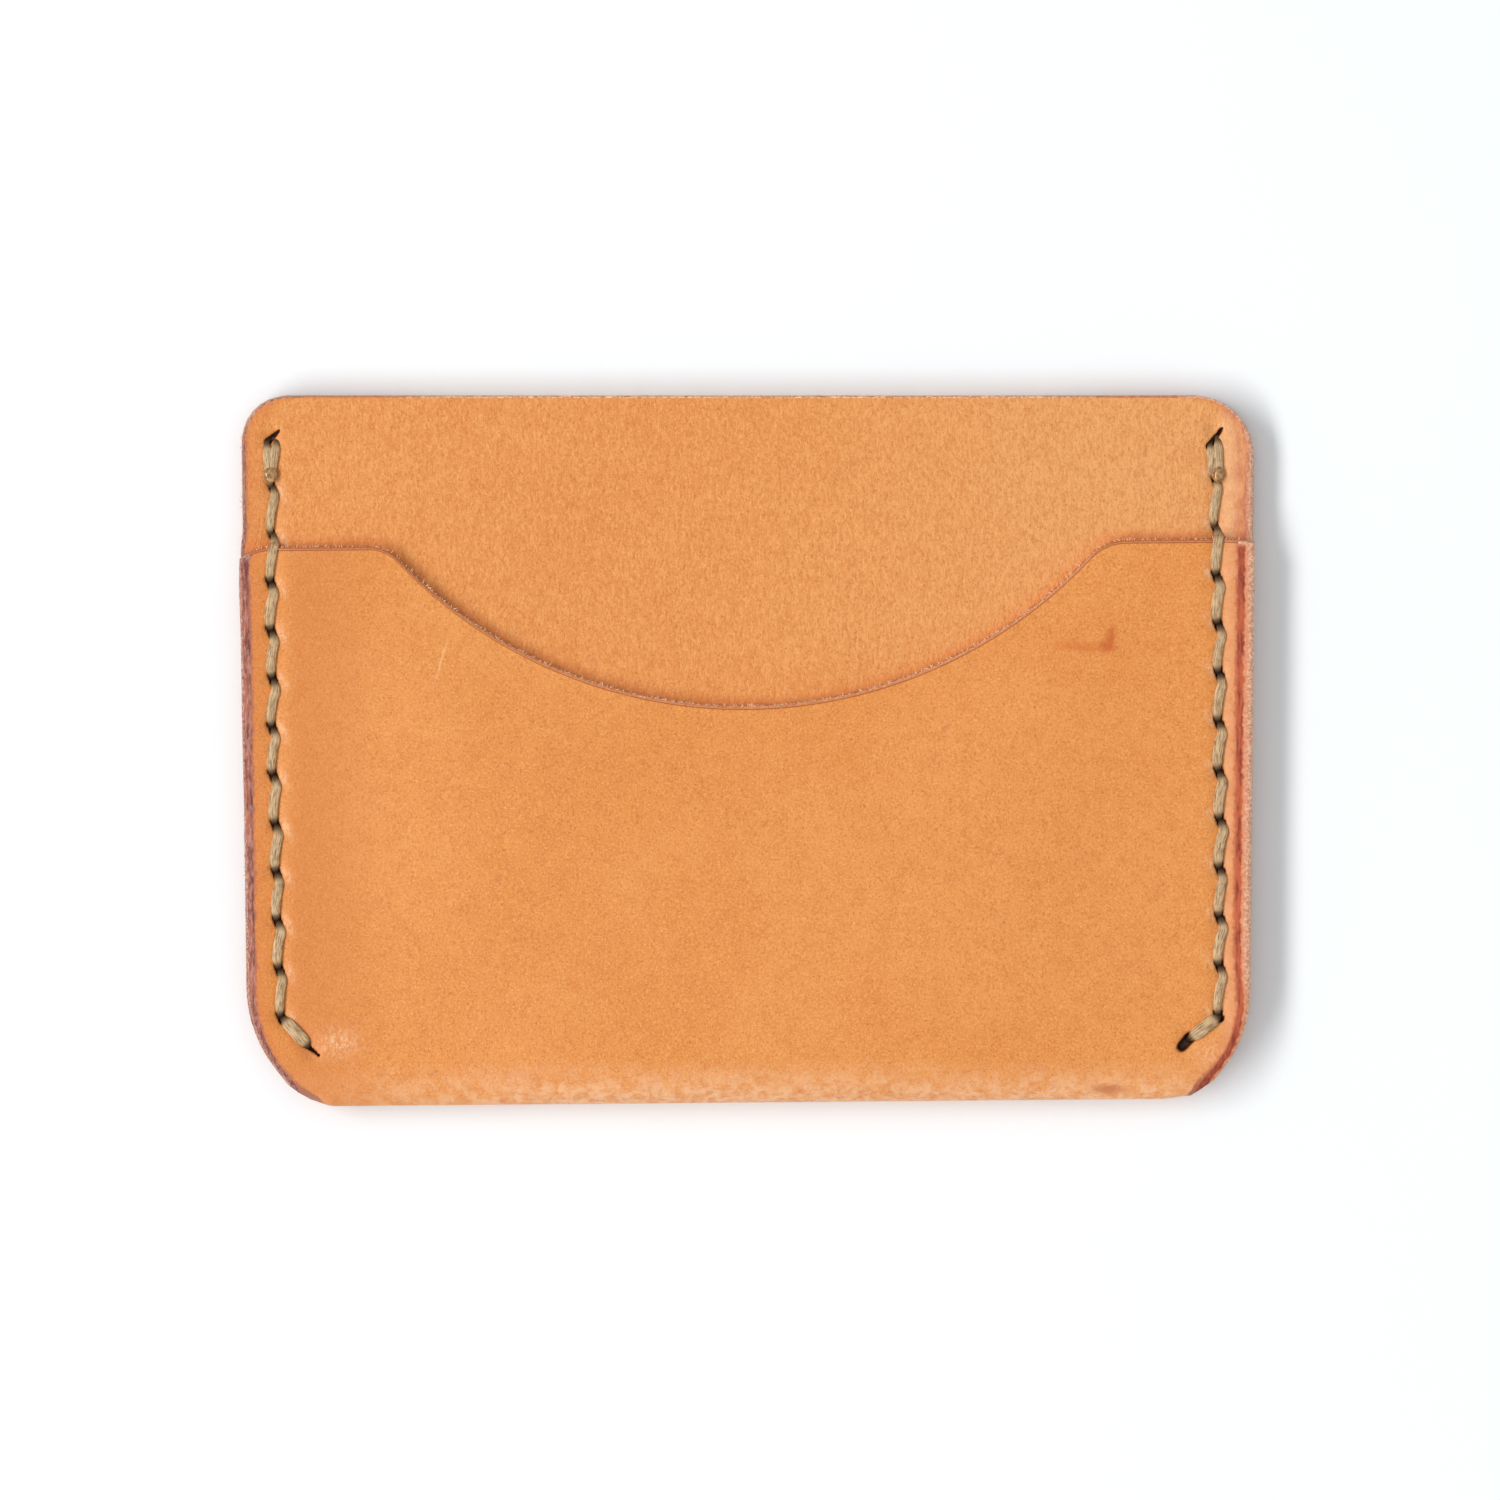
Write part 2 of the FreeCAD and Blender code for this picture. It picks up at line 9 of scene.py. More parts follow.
import bpy
import numpy as np
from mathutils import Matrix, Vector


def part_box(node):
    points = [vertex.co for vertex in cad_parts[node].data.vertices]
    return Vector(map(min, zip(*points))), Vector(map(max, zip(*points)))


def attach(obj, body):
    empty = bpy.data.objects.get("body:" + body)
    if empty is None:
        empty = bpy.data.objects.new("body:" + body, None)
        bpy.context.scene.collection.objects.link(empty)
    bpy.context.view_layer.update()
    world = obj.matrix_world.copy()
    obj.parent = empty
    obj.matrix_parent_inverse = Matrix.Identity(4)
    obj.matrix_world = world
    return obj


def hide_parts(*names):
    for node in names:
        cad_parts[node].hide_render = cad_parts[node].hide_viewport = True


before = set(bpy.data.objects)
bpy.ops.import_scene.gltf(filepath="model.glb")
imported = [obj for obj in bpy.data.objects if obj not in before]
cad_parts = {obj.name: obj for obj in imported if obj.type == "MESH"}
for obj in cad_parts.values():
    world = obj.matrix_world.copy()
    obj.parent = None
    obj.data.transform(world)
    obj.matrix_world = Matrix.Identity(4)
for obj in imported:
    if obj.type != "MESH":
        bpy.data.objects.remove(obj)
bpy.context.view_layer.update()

MM = 1000.0  # millimetres in a metre

# ---------------------------------------------------------------- sizes, in millimetres


def box_mm(node):
    """Lowest and highest corner of a CAD node."""
    low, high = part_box(node)
    return np.array(low) * MM, np.array(high) * MM


WRAP_LOW, WRAP_HIGH = box_mm("outer_wrap")
PANEL_BOX_LOW, PANEL_BOX_HIGH = box_mm("divider")
HALF = WRAP_HIGH[0]                     # half width
TOP = WRAP_HIGH[1]
STACK = WRAP_HIGH[2]                    # thickness across the pockets
MIDDLE = STACK / 2
PANEL_FRONT = PANEL_BOX_HIGH[2]
PANEL_BACK = PANEL_BOX_LOW[2]
LEATHER = 1.3                           # folded strip
GLUE = 0.05
RIM_HALF_STACK = (PANEL_FRONT - PANEL_BACK) / 2 + GLUE + LEATHER
SKEW = 0.0088                           # the fold and the pocket's edge rise to the right
FOLD_END = 43.5                         # where the corners begin, from the middle of the fold
FOLD_Y = WRAP_LOW[1] + FOLD_END * SKEW - 0.1    # outside of the fold, halfway across
BEND_Y = FOLD_Y + MIDDLE                # centre of the bend
PANEL_LOW = FOLD_Y + 2.0                # lower edge of the divider, halfway across

SHOULDER = TOP - 14.8                   # pocket's edge beside the scoop, halfway across
SCOOP_X, SCOOP_Y, SCOOP_RADIUS = -0.38, TOP + 16.55, 47.7
SHOULDER_RADIUS = {"left": 3.8, "right": 5.0}
SHOULDER_X = 38.0                       # about where the shoulders lie
MOUTH_DROP = {"left": 0.9, "right": 0.25}   # how far the pocket's edge rounds down at the sides
MOUTH_DROP_X, MOUTH_DROP_REACH = 48.0, 2.5  # where it begins to, and over what length

HOLES = 13                              # in each straight row; the corner hole is one more

Corner = namedtuple("Corner", "x y radius")
SIGN = {"left": -1.0, "right": 1.0}


def smooth(value, low=0.0, high=1.0):
    """Eases from 0 at low to 1 at high."""
    share = np.clip((value - low) / (high - low), 0.0, 1.0)
    return share * share * (3.0 - 2.0 * share)


def bump(value, middle, reach):
    """A soft bump, 1 at the middle and nearly 0 two reaches away."""
    return np.exp(-((value - middle) / reach) ** 2)


def ripples(points, size, seed, waves=14):
    """A smooth random field of about -1 to 1, its bumps about size across."""
    chance = np.random.default_rng(seed)
    total = np.zeros(points.shape[:-1])
    for _ in range(waves):
        heading = chance.normal(size=points.shape[-1])
        heading /= np.linalg.norm(heading)
        length = size * chance.uniform(1.4, 2.8)
        total += np.sin(points @ heading * (2 * math.pi / length) + chance.uniform(0, 2 * math.pi))
    return total / math.sqrt(2 * waves)


# ---------------------------------------------------------------- outline of the layers


TOP_RIGHT_RADIUS = 6.0
LOWER_CORNERS = {"left": Corner(-36.4, -23.5, 13.9), "right": Corner(38.4, -24.2, 12.1)}


class Outline:
    """The cut outline of one layer: a top and a bottom corner on each side, joined by straights."""

    def __init__(self, top_left_radius):
        self.corners = {}
        for side, radius in (("left", top_left_radius), ("right", TOP_RIGHT_RADIUS)):
            upper = Corner(SIGN[side] * (HALF - radius), TOP - radius, radius)
            self.corners[side] = (upper, LOWER_CORNERS[side])

    def side_circle(self, side, y):
        """Centre x and radius of the circle that touches the side's edge at heights y."""
        upper, lower = self.corners[side]
        share = np.clip((upper.y - y) / (upper.y - lower.y), 0.0, 1.0)
        return upper.x + (lower.x - upper.x) * share, upper.radius + (lower.radius - upper.radius) * share

    def edge(self, side, y, inset):
        """Where the side's edge lies at heights y, drawn in by inset."""
        upper, lower = self.corners[side]
        rise = np.clip((y - upper.y) / (upper.radius - inset), 0.0, 1.0)
        drop = np.clip((lower.y - y) / (lower.radius - inset), 0.0, 1.0)
        centre, radius = self.side_circle(side, y)
        return centre + SIGN[side] * (radius - inset) * np.sqrt(1 - rise ** 2) * np.sqrt(1 - drop ** 2)

    def gap(self, side, x, y):
        """Distance in from the side's edge, round the lower corner but not round the upper one."""
        centre, radius = self.side_circle(side, y)
        beyond = SIGN[side] * (x - centre)
        below = np.maximum(self.corners[side][1].y - y, 0.0)
        return radius - np.hypot(np.maximum(beyond, 0.0), below) + np.maximum(-beyond, 0.0)


BACK_OUTLINE = Outline(4.8)
PANEL_OUTLINE = Outline(5.1)


def mouth_line(x):
    """Height of the front leaf's edge: shoulders, rounded corners and the thumb scoop."""
    height = SHOULDER + SKEW * x
    bowl = SCOOP_Y - np.sqrt(np.maximum(SCOOP_RADIUS ** 2 - (x - SCOOP_X) ** 2, 0.0))
    inside = np.ones_like(x, dtype=bool)
    for side, small in SHOULDER_RADIUS.items():
        sign = SIGN[side]
        nearby = SHOULDER + SKEW * sign * SHOULDER_X
        drop = SCOOP_Y - nearby + small
        reach = math.sqrt((SCOOP_RADIUS + small) ** 2 - drop ** 2)
        centre = SCOOP_X + sign * reach
        touch = SCOOP_X + sign * reach * SCOOP_RADIUS / (SCOOP_RADIUS + small)
        arc = SCOOP_Y - drop + np.sqrt(np.maximum(small ** 2 - (x - centre) ** 2, 0.0))
        rounding = (sign * (x - touch) > 0) & (sign * (x - centre) <= 0)
        height = np.where(rounding, arc, height)
        inside &= sign * (x - touch) <= 0
        beyond = np.maximum(sign * x - MOUTH_DROP_X, 0.0)
        height = height - MOUTH_DROP[side] * beyond ** 2 / MOUTH_DROP_REACH ** 2
    return np.where(inside, bowl, height)


# ---------------------------------------------------------------- seams


Row = namedtuple("Row", "x lean bow below_top pitch corner seed")
ROWS = {
    "left": Row(-47.63, -0.45, 1.4, 4.25, 4.845, (-43.6, -30.0), 11),
    "right": Row(46.88, 1.5, -0.95, 3.38, 4.9, (44.1, -29.2), 23),
}
UNEVEN = (0.07, 0.06)    # how far a hole can be out of line, across and along


class Seam:
    """Places of one side's holes, seen from the front: a slightly bent row and the corner hole."""

    def __init__(self, side):
        self.side = side
        row = ROWS[side]
        number = np.arange(HOLES)
        share = number / (HOLES - 1)
        chance = np.random.default_rng(row.seed)
        x = row.x + row.lean * share + row.bow * share ** 2
        x = x + chance.uniform(-UNEVEN[0], UNEVEN[0], HOLES)
        y = TOP - row.below_top - row.pitch * number + chance.uniform(-UNEVEN[1], UNEVEN[1], HOLES)
        self.holes = np.vstack([np.column_stack([x, y]), row.corner])

    def distance(self, points):
        """Distance from the line of stitches."""
        nearest = np.full(points.shape[:-1], np.inf)
        for start, end in zip(self.holes, self.holes[1:]):
            nearest = np.minimum(nearest, to_segment(points, start, end)[0])
        return nearest


def to_segment(points, start, end):
    """Distance of points from a segment, and how far along it the nearest place is, 0 to 1."""
    start, end = np.array(start), np.array(end)
    along = end - start
    share = np.clip((points - start) @ along / (along @ along), 0.0, 1.0)
    gap = points - start - share[..., None] * along
    return np.hypot(gap[..., 0], gap[..., 1]), share


SEAMS = {side: Seam(side) for side in SIGN}

SLIT = (0.12, 0.32)       # half reach of a slit, which leans to the lower right
SLIT_RADIUS = 0.43
SLIT_RIM = 1.15           # a slit's rim begins this many radii out
SHALLOW = 0.72            # how open the holes above the pocket's edge are
NARROWEST = 0.35          # share of its width that a slit keeps however little it opens
PIT_DEPTH = 1.12          # as deep as a slit can be followed into one layer
ODD_SLITS = {    # the topmost ones and the corner ones: both ends, from the hole, and their radii
    ("left", 0): ((-0.36, -0.38), (0.72, 0.68), (0.4, 0.14)),
    ("right", 0): ((-0.42, -1.72), (0.8, 0.0), (0.4, 0.14)),
    ("left", HOLES): ((-0.9, 0.7), (0.75, -0.62), (0.3, 0.08)),
    ("right", HOLES): ((0.35, 0.35), (-0.4, -0.5), (0.6, 0.55)),
}
# The pale streaks beside the holes, partly strained grain and partly a painted highlight where the
# pulled-in grain rises towards the lamp: their place from each hole, their size, and a larger patch.
STRAIN_HIGHLIGHT_PLACE = {"left": (1.1, -0.45), "right": (-0.85, 0.3)}
STRAIN_HIGHLIGHT_SIZE = {"left": (0.42, 0.95), "right": (0.45, 0.7)}
STRAIN_HIGHLIGHT_LEAN = 0.42
STRAIN_HIGHLIGHT_CORNER = {"left": (-41.0, -29.3), "right": (47.2, -30.6)}
STRAIN_HIGHLIGHT_CORNER_SIZE = (1.95, 1.3)
SEAM_PULL, SEAM_PULL_REACH = 0.13, 1.0      # how far a seam pulls the leather down, and how widely
HOLE_PULL, HOLE_PULL_REACH = 0.24, 0.85     # the same round each hole
DENT_SQUEEZE = 0.8                          # width of such a dent as a share of its height


def how_open(seam, index):
    """Share of the full opening that a hole shows: less where the front leaf doesn't cover it."""
    return SHALLOW if seam.holes[index, 1] > SHOULDER else 1.0


def slit_depth(side, points):
    """How far each point lies into one of the side's slits: 0 outside, 1 at the bottom."""
    deep = np.zeros(points.shape[:-1])
    seam = SEAMS[side]
    reach = np.array([-SLIT[0], SLIT[1]])
    for index, hole in enumerate(seam.holes):
        opening = how_open(seam, index)
        radius = SLIT_RADIUS * (NARROWEST + (1 - NARROWEST) * opening)
        usual = (reach * opening, -reach * opening, (radius, radius))
        start, end, radii = ODD_SLITS.get((side, index), usual)
        distance, share = to_segment(points, hole + start, hole + end)
        radius = radii[0] + (radii[1] - radii[0]) * share
        deep = np.maximum(deep, smooth(SLIT_RIM - distance / radius, 0.0, 0.75))
    return deep


def strain_and_highlight(side, points):
    """0 to 1: where the stitches have stretched the grain, in streaks beside the holes, with a painted
    highlight on the sides of their dents.
    """
    stretch_and_highlight = np.zeros(points.shape[:-1])
    wide, tall = STRAIN_HIGHLIGHT_SIZE[side]
    for hole in SEAMS[side].holes[1:HOLES]:
        across, along = np.moveaxis(points - hole - STRAIN_HIGHLIGHT_PLACE[side], -1, 0)
        stretch_and_highlight += bump(across + STRAIN_HIGHLIGHT_LEAN * along, 0.0, wide) * bump(along, 0.0, tall)
    across, along = np.moveaxis((points - STRAIN_HIGHLIGHT_CORNER[side]) / STRAIN_HIGHLIGHT_CORNER_SIZE, -1, 0)
    return np.clip(stretch_and_highlight + bump(np.hypot(across, along), 0.0, 1.0), 0.0, 1.0)


def pulled_in(side, points):
    """How far the stitches pull the leather down along a seam and round its holes."""
    seam = SEAMS[side]
    valley = SEAM_PULL * bump(seam.distance(points), 0.0, SEAM_PULL_REACH)
    for hole in seam.holes:
        away = np.hypot(points[..., 0] - hole[0], (points[..., 1] - hole[1]) * DENT_SQUEEZE)
        valley = valley + HOLE_PULL * bump(away, 0.0, HOLE_PULL_REACH)
    return valley


# ---------------------------------------------------------------- heights of the leaves


SWELL_FROM, SWELL_TO = 3.0, 34.0    # distances from the rim between which the leaves swell
MOUTH_DROOP, DROOP_REACH = 0.85, 11.0    # how far the empty pocket's edge sinks, over what length
SEAM_BAND = 36.0                    # the seams touch nothing nearer to the middle than this


def swelling(x, y):
    """0 at the pasted rims, 1 where the holder has its full thickness."""
    gap = np.minimum(BACK_OUTLINE.gap("left", x, y), BACK_OUTLINE.gap("right", x, y))
    return smooth(gap, SWELL_FROM, SWELL_TO)


def half_stack(x, y):
    """Half the holder's thickness, without the seams: low at the rims, full between them."""
    return RIM_HALF_STACK + (MIDDLE - RIM_HALF_STACK) * swelling(x, y)


def seam_relief(x, y, pit_depth):
    """(how far the surface is pulled in at each point, how deep into a slit it lies, its strain and painted
    highlight)
    """
    points = np.stack([x, y], axis=-1)
    drop = np.zeros_like(x)
    deep = np.zeros_like(x)
    stretch_and_highlight = np.zeros_like(x)
    for side in SEAMS:
        near = SIGN[side] * x > SEAM_BAND
        drop[near] += pulled_in(side, points[near])
        deep[near] = np.maximum(deep[near], slit_depth(side, points[near]))
        stretch_and_highlight[near] = strain_and_highlight(side, points[near])
    return drop + (pit_depth - drop) * deep, deep, stretch_and_highlight


# ---------------------------------------------------------------- grids


def steps(*runs):
    """Distances from 0 built from (length, step) runs."""
    places = [0.0]
    for length, step in runs:
        count = max(1, round(length / step))
        places += list(places[-1] + length * np.arange(1, count + 1) / count)
    return np.array(places)


def column_shares():
    """Shares of the width: fine beside the seams, medium at the shoulders, coarse between."""
    rim, seam, beside, shoulder = (1.6, 0.27), (6.0, 0.15), (2.4, 0.3), (12.0, 0.5)
    done = rim[0] + seam[0] + beside[0] + shoulder[0]
    half = steps(rim, seam, beside, shoulder, (HALF - done, 0.8))
    whole = np.concatenate([half, (2 * HALF - half)[::-1][1:]])
    return whole / whole[-1]


COLUMNS = column_shares()
SETTLING = 6    # rounds in which a grid's heights and its slanted edges are fitted to each other


def lay_out(outline, insets, height):
    """Grid of x and y: rows at heights that depend on x, columns between the two edges."""
    shares = COLUMNS[None, :]
    x = (shares * 2 - 1) * HALF
    for _ in range(SETTLING):
        y = height(x)
        left = outline.edge("left", y, insets["left"](y))
        right = outline.edge("right", y, insets["right"](y))
        x = left + (right - left) * shares
    return x, height(x)


TOP_ROUND = 6.0    # height over which rows crowd towards the top edge, for the round corners
TOP_ROWS = {"wrap": 26, "divider": 58}
ROW_STEP = {"back leaf": 0.28, "front leaf": 0.19, "divider": 0.22, "hidden": 0.7}
BEND_ROWS = 25


def rows_from_top(total, step, top_rows):
    """Distances down from a top edge: crowded at first, so that the corners come out round."""
    turn = np.linspace(0.0, math.pi / 2, top_rows + 1)
    crowded = TOP_ROUND * (1 - np.cos(turn))
    count = round((total - TOP_ROUND) / step)
    return np.concatenate([crowded, TOP_ROUND + (total - TOP_ROUND) * np.arange(1, count + 1) / count])


Sheet = namedtuple("Sheet", "outer inner marks")


def surface_normals(grid):
    """Outward normals of an outer grid, whose columns run along +X."""
    down = np.gradient(grid, axis=0)
    along = np.gradient(grid, axis=1)
    normal = np.cross(along, down)
    return normal / np.linalg.norm(normal, axis=-1, keepdims=True)


def rim_order(rows, columns):
    """The boundary of a grid, once round: first row, right side, last row, left side."""
    first = [(0, j) for j in range(columns)]
    right = [(i, columns - 1) for i in range(1, rows)]
    last = [(rows - 1, j) for j in range(columns - 2, -1, -1)]
    left = [(i, 0) for i in range(rows - 2, 0, -1)]
    return first + right + last + left


RINGS = 6          # rows of points round a cut edge
COARSE = 3         # the unseen flesh side keeps every third row and column
FUZZ = {"wrap": 0.08, "divider": 0.09}    # how far the cut edges are roughened
FUZZ_SIZE = 0.3    # of the bumps on them
# How square a cut edge is: 0.5 is nearly square, 1 a quarter round, 2 a bevel.
SQUARE_EDGE, DIVIDER_EDGE, BEND_EDGE = 0.5, 0.6, 1.8
LEFT_FRONT_ROUNDER = 0.4    # added to the front leaf's left edge


def kept(count):
    """Which rows or columns the flesh side keeps."""
    places = list(range(0, count, COARSE))
    return places if places[-1] == count - 1 else places + [count - 1]


def rim_rings(sheet, at, edge_power, fuzz):
    """Points of each ring round the cut edge, from the grain side down, and how far out they lie."""
    top, bottom = sheet.outer[at], sheet.inner[at]
    normal = surface_normals(sheet.outer)[at]
    across = bottom - top
    sunk = np.sum(across * normal, axis=-1, keepdims=True) * normal
    outward = across - sunk
    reach = np.linalg.norm(outward, axis=-1, keepdims=True)
    heading = outward / np.maximum(reach, 1e-6)
    rings, shares = [], []
    for ring in range(1, RINGS + 1):
        turn = ring / (RINGS + 1) * math.pi / 2
        out = math.sin(turn) ** edge_power[:, None]
        depth = 1 - math.cos(turn) ** edge_power[:, None]
        points = top + outward * out + sunk * depth
        rough = fuzz * math.sin(2 * turn) * ripples(points, FUZZ_SIZE, 5)[:, None]
        rings.append(points + heading * rough)
        shares.append(out[:, 0])
    return rings, shares


def flesh_border(ring, rim, place):
    """Faces between the last ring of the cut edge and the coarser flesh side.

    place says which point of the flesh side lies under a point of the grain side, where there is one.
    """
    count = len(rim)
    held = [k for k, spot in enumerate(rim) if spot in place]
    faces = []
    for first, second in zip(held, held[1:] + [held[0] + count]):
        between = [ring[k % count] for k in range(second, first - 1, -1)]
        faces.append((*between, place[rim[first]], place[rim[second % count]]))
    return faces


def close_sheet(sheet, edge_power, fuzz):
    """Points, faces and marks of one closed layer: grain side, rounded cut edge, coarser flesh side.

    edge_power says how square the cut is at each boundary point, fuzz how rough it is.
    """
    rows, columns = sheet.outer.shape[:2]
    flat = np.arange(rows * columns).reshape(rows, columns)
    at = tuple(np.array(rim_order(rows, columns)).T)
    rim = flat[at]
    under = flat[np.ix_(kept(rows), kept(columns))]
    rings, shares = rim_rings(sheet, at, edge_power, fuzz)
    flesh = sheet.inner.reshape(-1, 3)[under.ravel()]
    points = np.concatenate([sheet.outer.reshape(-1, 3), *rings, flesh])

    source = np.concatenate([flat.ravel(), np.tile(rim, RINGS), under.ravel()])
    marks = {key: value.ravel()[source] for key, value in sheet.marks.items()}
    marks["cut"] = np.concatenate([np.zeros(flat.size), *shares, np.ones(under.size)])
    start = flat.size + RINGS * len(rim)
    marks["flesh"] = (np.arange(len(source)) >= start).astype(float)

    faces = grid_faces(flat)
    current = rim
    for ring in range(RINGS):
        following = flat.size + ring * len(rim) + np.arange(len(rim))
        strip = (np.roll(current, -1), current, following, np.roll(following, -1))
        faces += [tuple(face) for face in np.stack(strip, axis=-1).tolist()]
        current = following
    index = start + np.arange(under.size).reshape(under.shape)
    faces += [face[::-1] for face in grid_faces(index)]
    place = dict(zip(under.ravel().tolist(), index.ravel().tolist()))
    return points, faces + flesh_border(current.tolist(), rim.tolist(), place), marks


def grid_faces(index):
    """Quads of a grid of point numbers, facing along columns x rows."""
    corners = (index[:-1, :-1], index[:-1, 1:], index[1:, 1:], index[1:, :-1])
    return [tuple(face) for face in np.stack(corners, axis=-1).reshape(-1, 4).tolist()]


def add_object(name, data):
    """A new object in the scene."""
    added = bpy.data.objects.new(name, data)
    bpy.context.scene.collection.objects.link(added)
    return added


def make_mesh(name, points, faces, marks):
    """An object from points in millimetres, with per-point numbers for the materials to read."""
    mesh = bpy.data.meshes.new(name)
    mesh.from_pydata((points / MM).tolist(), [], faces)
    for key, values in marks.items():
        attribute = mesh.attributes.new(key, "FLOAT", "POINT")
        attribute.data.foreach_set("value", np.asarray(values, dtype=np.float32))
    mesh.shade_smooth()
    mesh.update()
    return add_object(name, mesh)


# ---------------------------------------------------------------- leather pieces


TOP_CUT = 0.25        # how far the back leaf's raw upper edge leans in at the grain side
MOUTH_CUT = 0.24      # the same for the front leaf's
PANEL_CUT = {"outer": 0.3, "inner": 0.1}
MOUTH_CREASE, MOUTH_CREASE_REACH = 0.17, 0.09    # the pressed line beside the pocket's edge
MOUTH_CREASE_DEPTH = 0.04
WAVES = {"wrap": (0.035, 7.0), "divider": (0.03, 9.0)}    # depth and size of the leather's waves
FAR = 20.0            # stands for any distance too large to matter
OVER_MOUTH = 5.0      # added to the divider's distances above the front leaf's edge
FOLD_LIFT = {"left": 0.8, "right": 0.3}          # how much tighter the fold is at its two ends
FOLD_LIFT_FROM = {"left": (41.3, 44.5), "right": (41.5, 44.8)}    # where it tightens
FOLD_WIDER_BEND = 1.25    # four times how far the right side swings out halfway round the bend


BACK_INSET = {"outer": 0.28, "inner": 0.05}
FRONT_INSET = {    # the front leaf's inset low down, what is added higher up, and between which heights
    ("left", "outer"): (0.72, 0.36, -34.0, -22.0),
    ("left", "inner"): (0.25, -0.25, -20.0, 5.0),
    ("right", "outer"): (0.8, 0.9, -33.0, -18.0),
    ("right", "inner"): (-0.1, 0.0, -33.0, -18.0),
}
LEFT_BULGE, BULGE_Y, BULGE_REACH = 0.12, SHOULDER - 4.5, 3.6    # swings out below the pocket's edge
NARROWER = 0.22    # above the pocket's edge, on the left


def leaf_inset(side, share, face):
    """How far the wrap's edge is drawn in at each height, from back leaf (share 0) to front (1)."""
    back = BACK_INSET[face]
    wider_bend = FOLD_WIDER_BEND if (side, face) == ("right", "outer") else 0.0
    low, more, start, end = FRONT_INSET[side, face]

    def inset(y):
        front = low + more * smooth(y, start, end)
        front = front * smooth(y, FOLD_Y - 0.8, FOLD_Y + 3.0)
        if side == "left":
            front = front - LEFT_BULGE * bump(y, BULGE_Y, BULGE_REACH) * smooth(SHOULDER - y, 0.3, 2.5)
        return back + (front - back) * share + narrow_top(side, y) - wider_bend * share * (1 - share)

    return inset


def narrow_top(side, y):
    """How much narrower the two layers above the pocket's edge are on the left."""
    if side == "right":
        return 0.0
    return NARROWER * smooth(y, SHOULDER - 1.0, SHOULDER + 1.5) * smooth(TOP - y, 0.0, 4.5)


def wrap_rows():
    """Row places down the back leaf, round the fold and below the pocket's edge; the last one's length."""
    back = rows_from_top(TOP - BEND_Y, ROW_STEP["back leaf"], TOP_ROWS["wrap"])
    bend = np.linspace(0.0, math.pi, BEND_ROWS + 2)[1:-1]
    length = SHOULDER - BEND_Y
    lip = (0.96, 0.08)
    front = steps(lip, (length - lip[0], ROW_STEP["front leaf"]))[::-1]
    return back, bend, front, length


def wrap_grid(face):
    """The wrap's outer or inner surface as a grid of points, and its rows' bookkeeping."""
    back, bend, front, length = wrap_rows()
    down = np.concatenate([back, np.full(len(bend), back[-1]), np.full(len(front), back[-1])])[:, None]
    turn = np.concatenate([np.zeros(len(back)), bend, np.full(len(front), math.pi)])[:, None]
    below_mouth = np.concatenate([np.full(len(back) + len(bend), length), front])[:, None]
    share = smooth(turn, 0.0, math.pi)
    cut = {"outer": (TOP_CUT, MOUTH_CUT), "inner": (0.0, 0.0)}[face]
    thickness = {"outer": 0.0, "inner": LEATHER}[face]
    is_front = turn > math.pi - 1e-9

    def height(x):
        bend_y = BEND_Y + SKEW * x
        lift = sum(FOLD_LIFT[side] * smooth(sign * x, *FOLD_LIFT_FROM[side]) for side, sign in SIGN.items())
        reach = MIDDLE - thickness - lift
        y = TOP - cut[0] - down * (TOP - cut[0] - bend_y) / (TOP - BEND_Y)
        y = np.where((turn > 0) & ~is_front, bend_y - reach * np.sin(turn), y)
        slope = (mouth_line(x + 0.05) - mouth_line(x - 0.05)) / 0.1
        mouth = mouth_line(x) - cut[1] * np.sqrt(1 + np.minimum(slope ** 2, 2.0))
        spare = (mouth - bend_y) - length
        rising = mouth - below_mouth - spare * smooth(below_mouth / length)
        return np.where(is_front, rising, y)

    insets = {side: leaf_inset(side, share, face) for side in SEAMS}
    x, y = lay_out(BACK_OUTLINE, insets, height)
    base_y = np.where((turn > 0) & ~is_front, BEND_Y + SKEW * x, y)
    droop = MOUTH_DROOP * swelling(x, base_y) * bump(below_mouth, 0.0, DROOP_REACH)
    half = half_stack(x, base_y) - is_front * droop
    relief, deep, stretch_and_highlight = np.zeros_like(x), np.zeros_like(x), np.zeros_like(x)
    if face == "outer":
        relief, deep, stretch_and_highlight = seam_relief(x, base_y, PIT_DEPTH)
        crease = MOUTH_CREASE_DEPTH * bump(below_mouth, MOUTH_CREASE, MOUTH_CREASE_REACH)
        points = np.stack([x, base_y, turn + 0 * x], axis=-1)
        depth, size = WAVES["wrap"]
        relief = relief + crease * is_front + depth * np.maximum(1 + ripples(points, size, 2), 0.0)
    z = MIDDLE - np.cos(turn) * (half - thickness - relief)
    marks = {
        "pit": deep,
        "strain_and_highlight": stretch_and_highlight,
        "mouth_gap": np.where(is_front, np.minimum(below_mouth + 0 * x, FAR), FAR),
        "side_gap": np.minimum(x - x[:, :1], x[:, -1:] - x),
        "front": share + 0 * x,
    }
    return np.stack([x, y, z], axis=-1), marks


MOUTH_FIBRES, RIM_FIBRES = 520, 260    # how many along the pocket's edge and along each side
FIBRE_LENGTH, FIBRE_RADIUS = (0.14, 0.4), (0.03, 0.07)
FIBRE_SPAN = 49.5   # half the length along which the pocket's edge has fibres
FIBRE_STEPS = 4     # rings of points along a fibre
FIBRE_MARK = 1.5    # a "cut" value that only fibres have


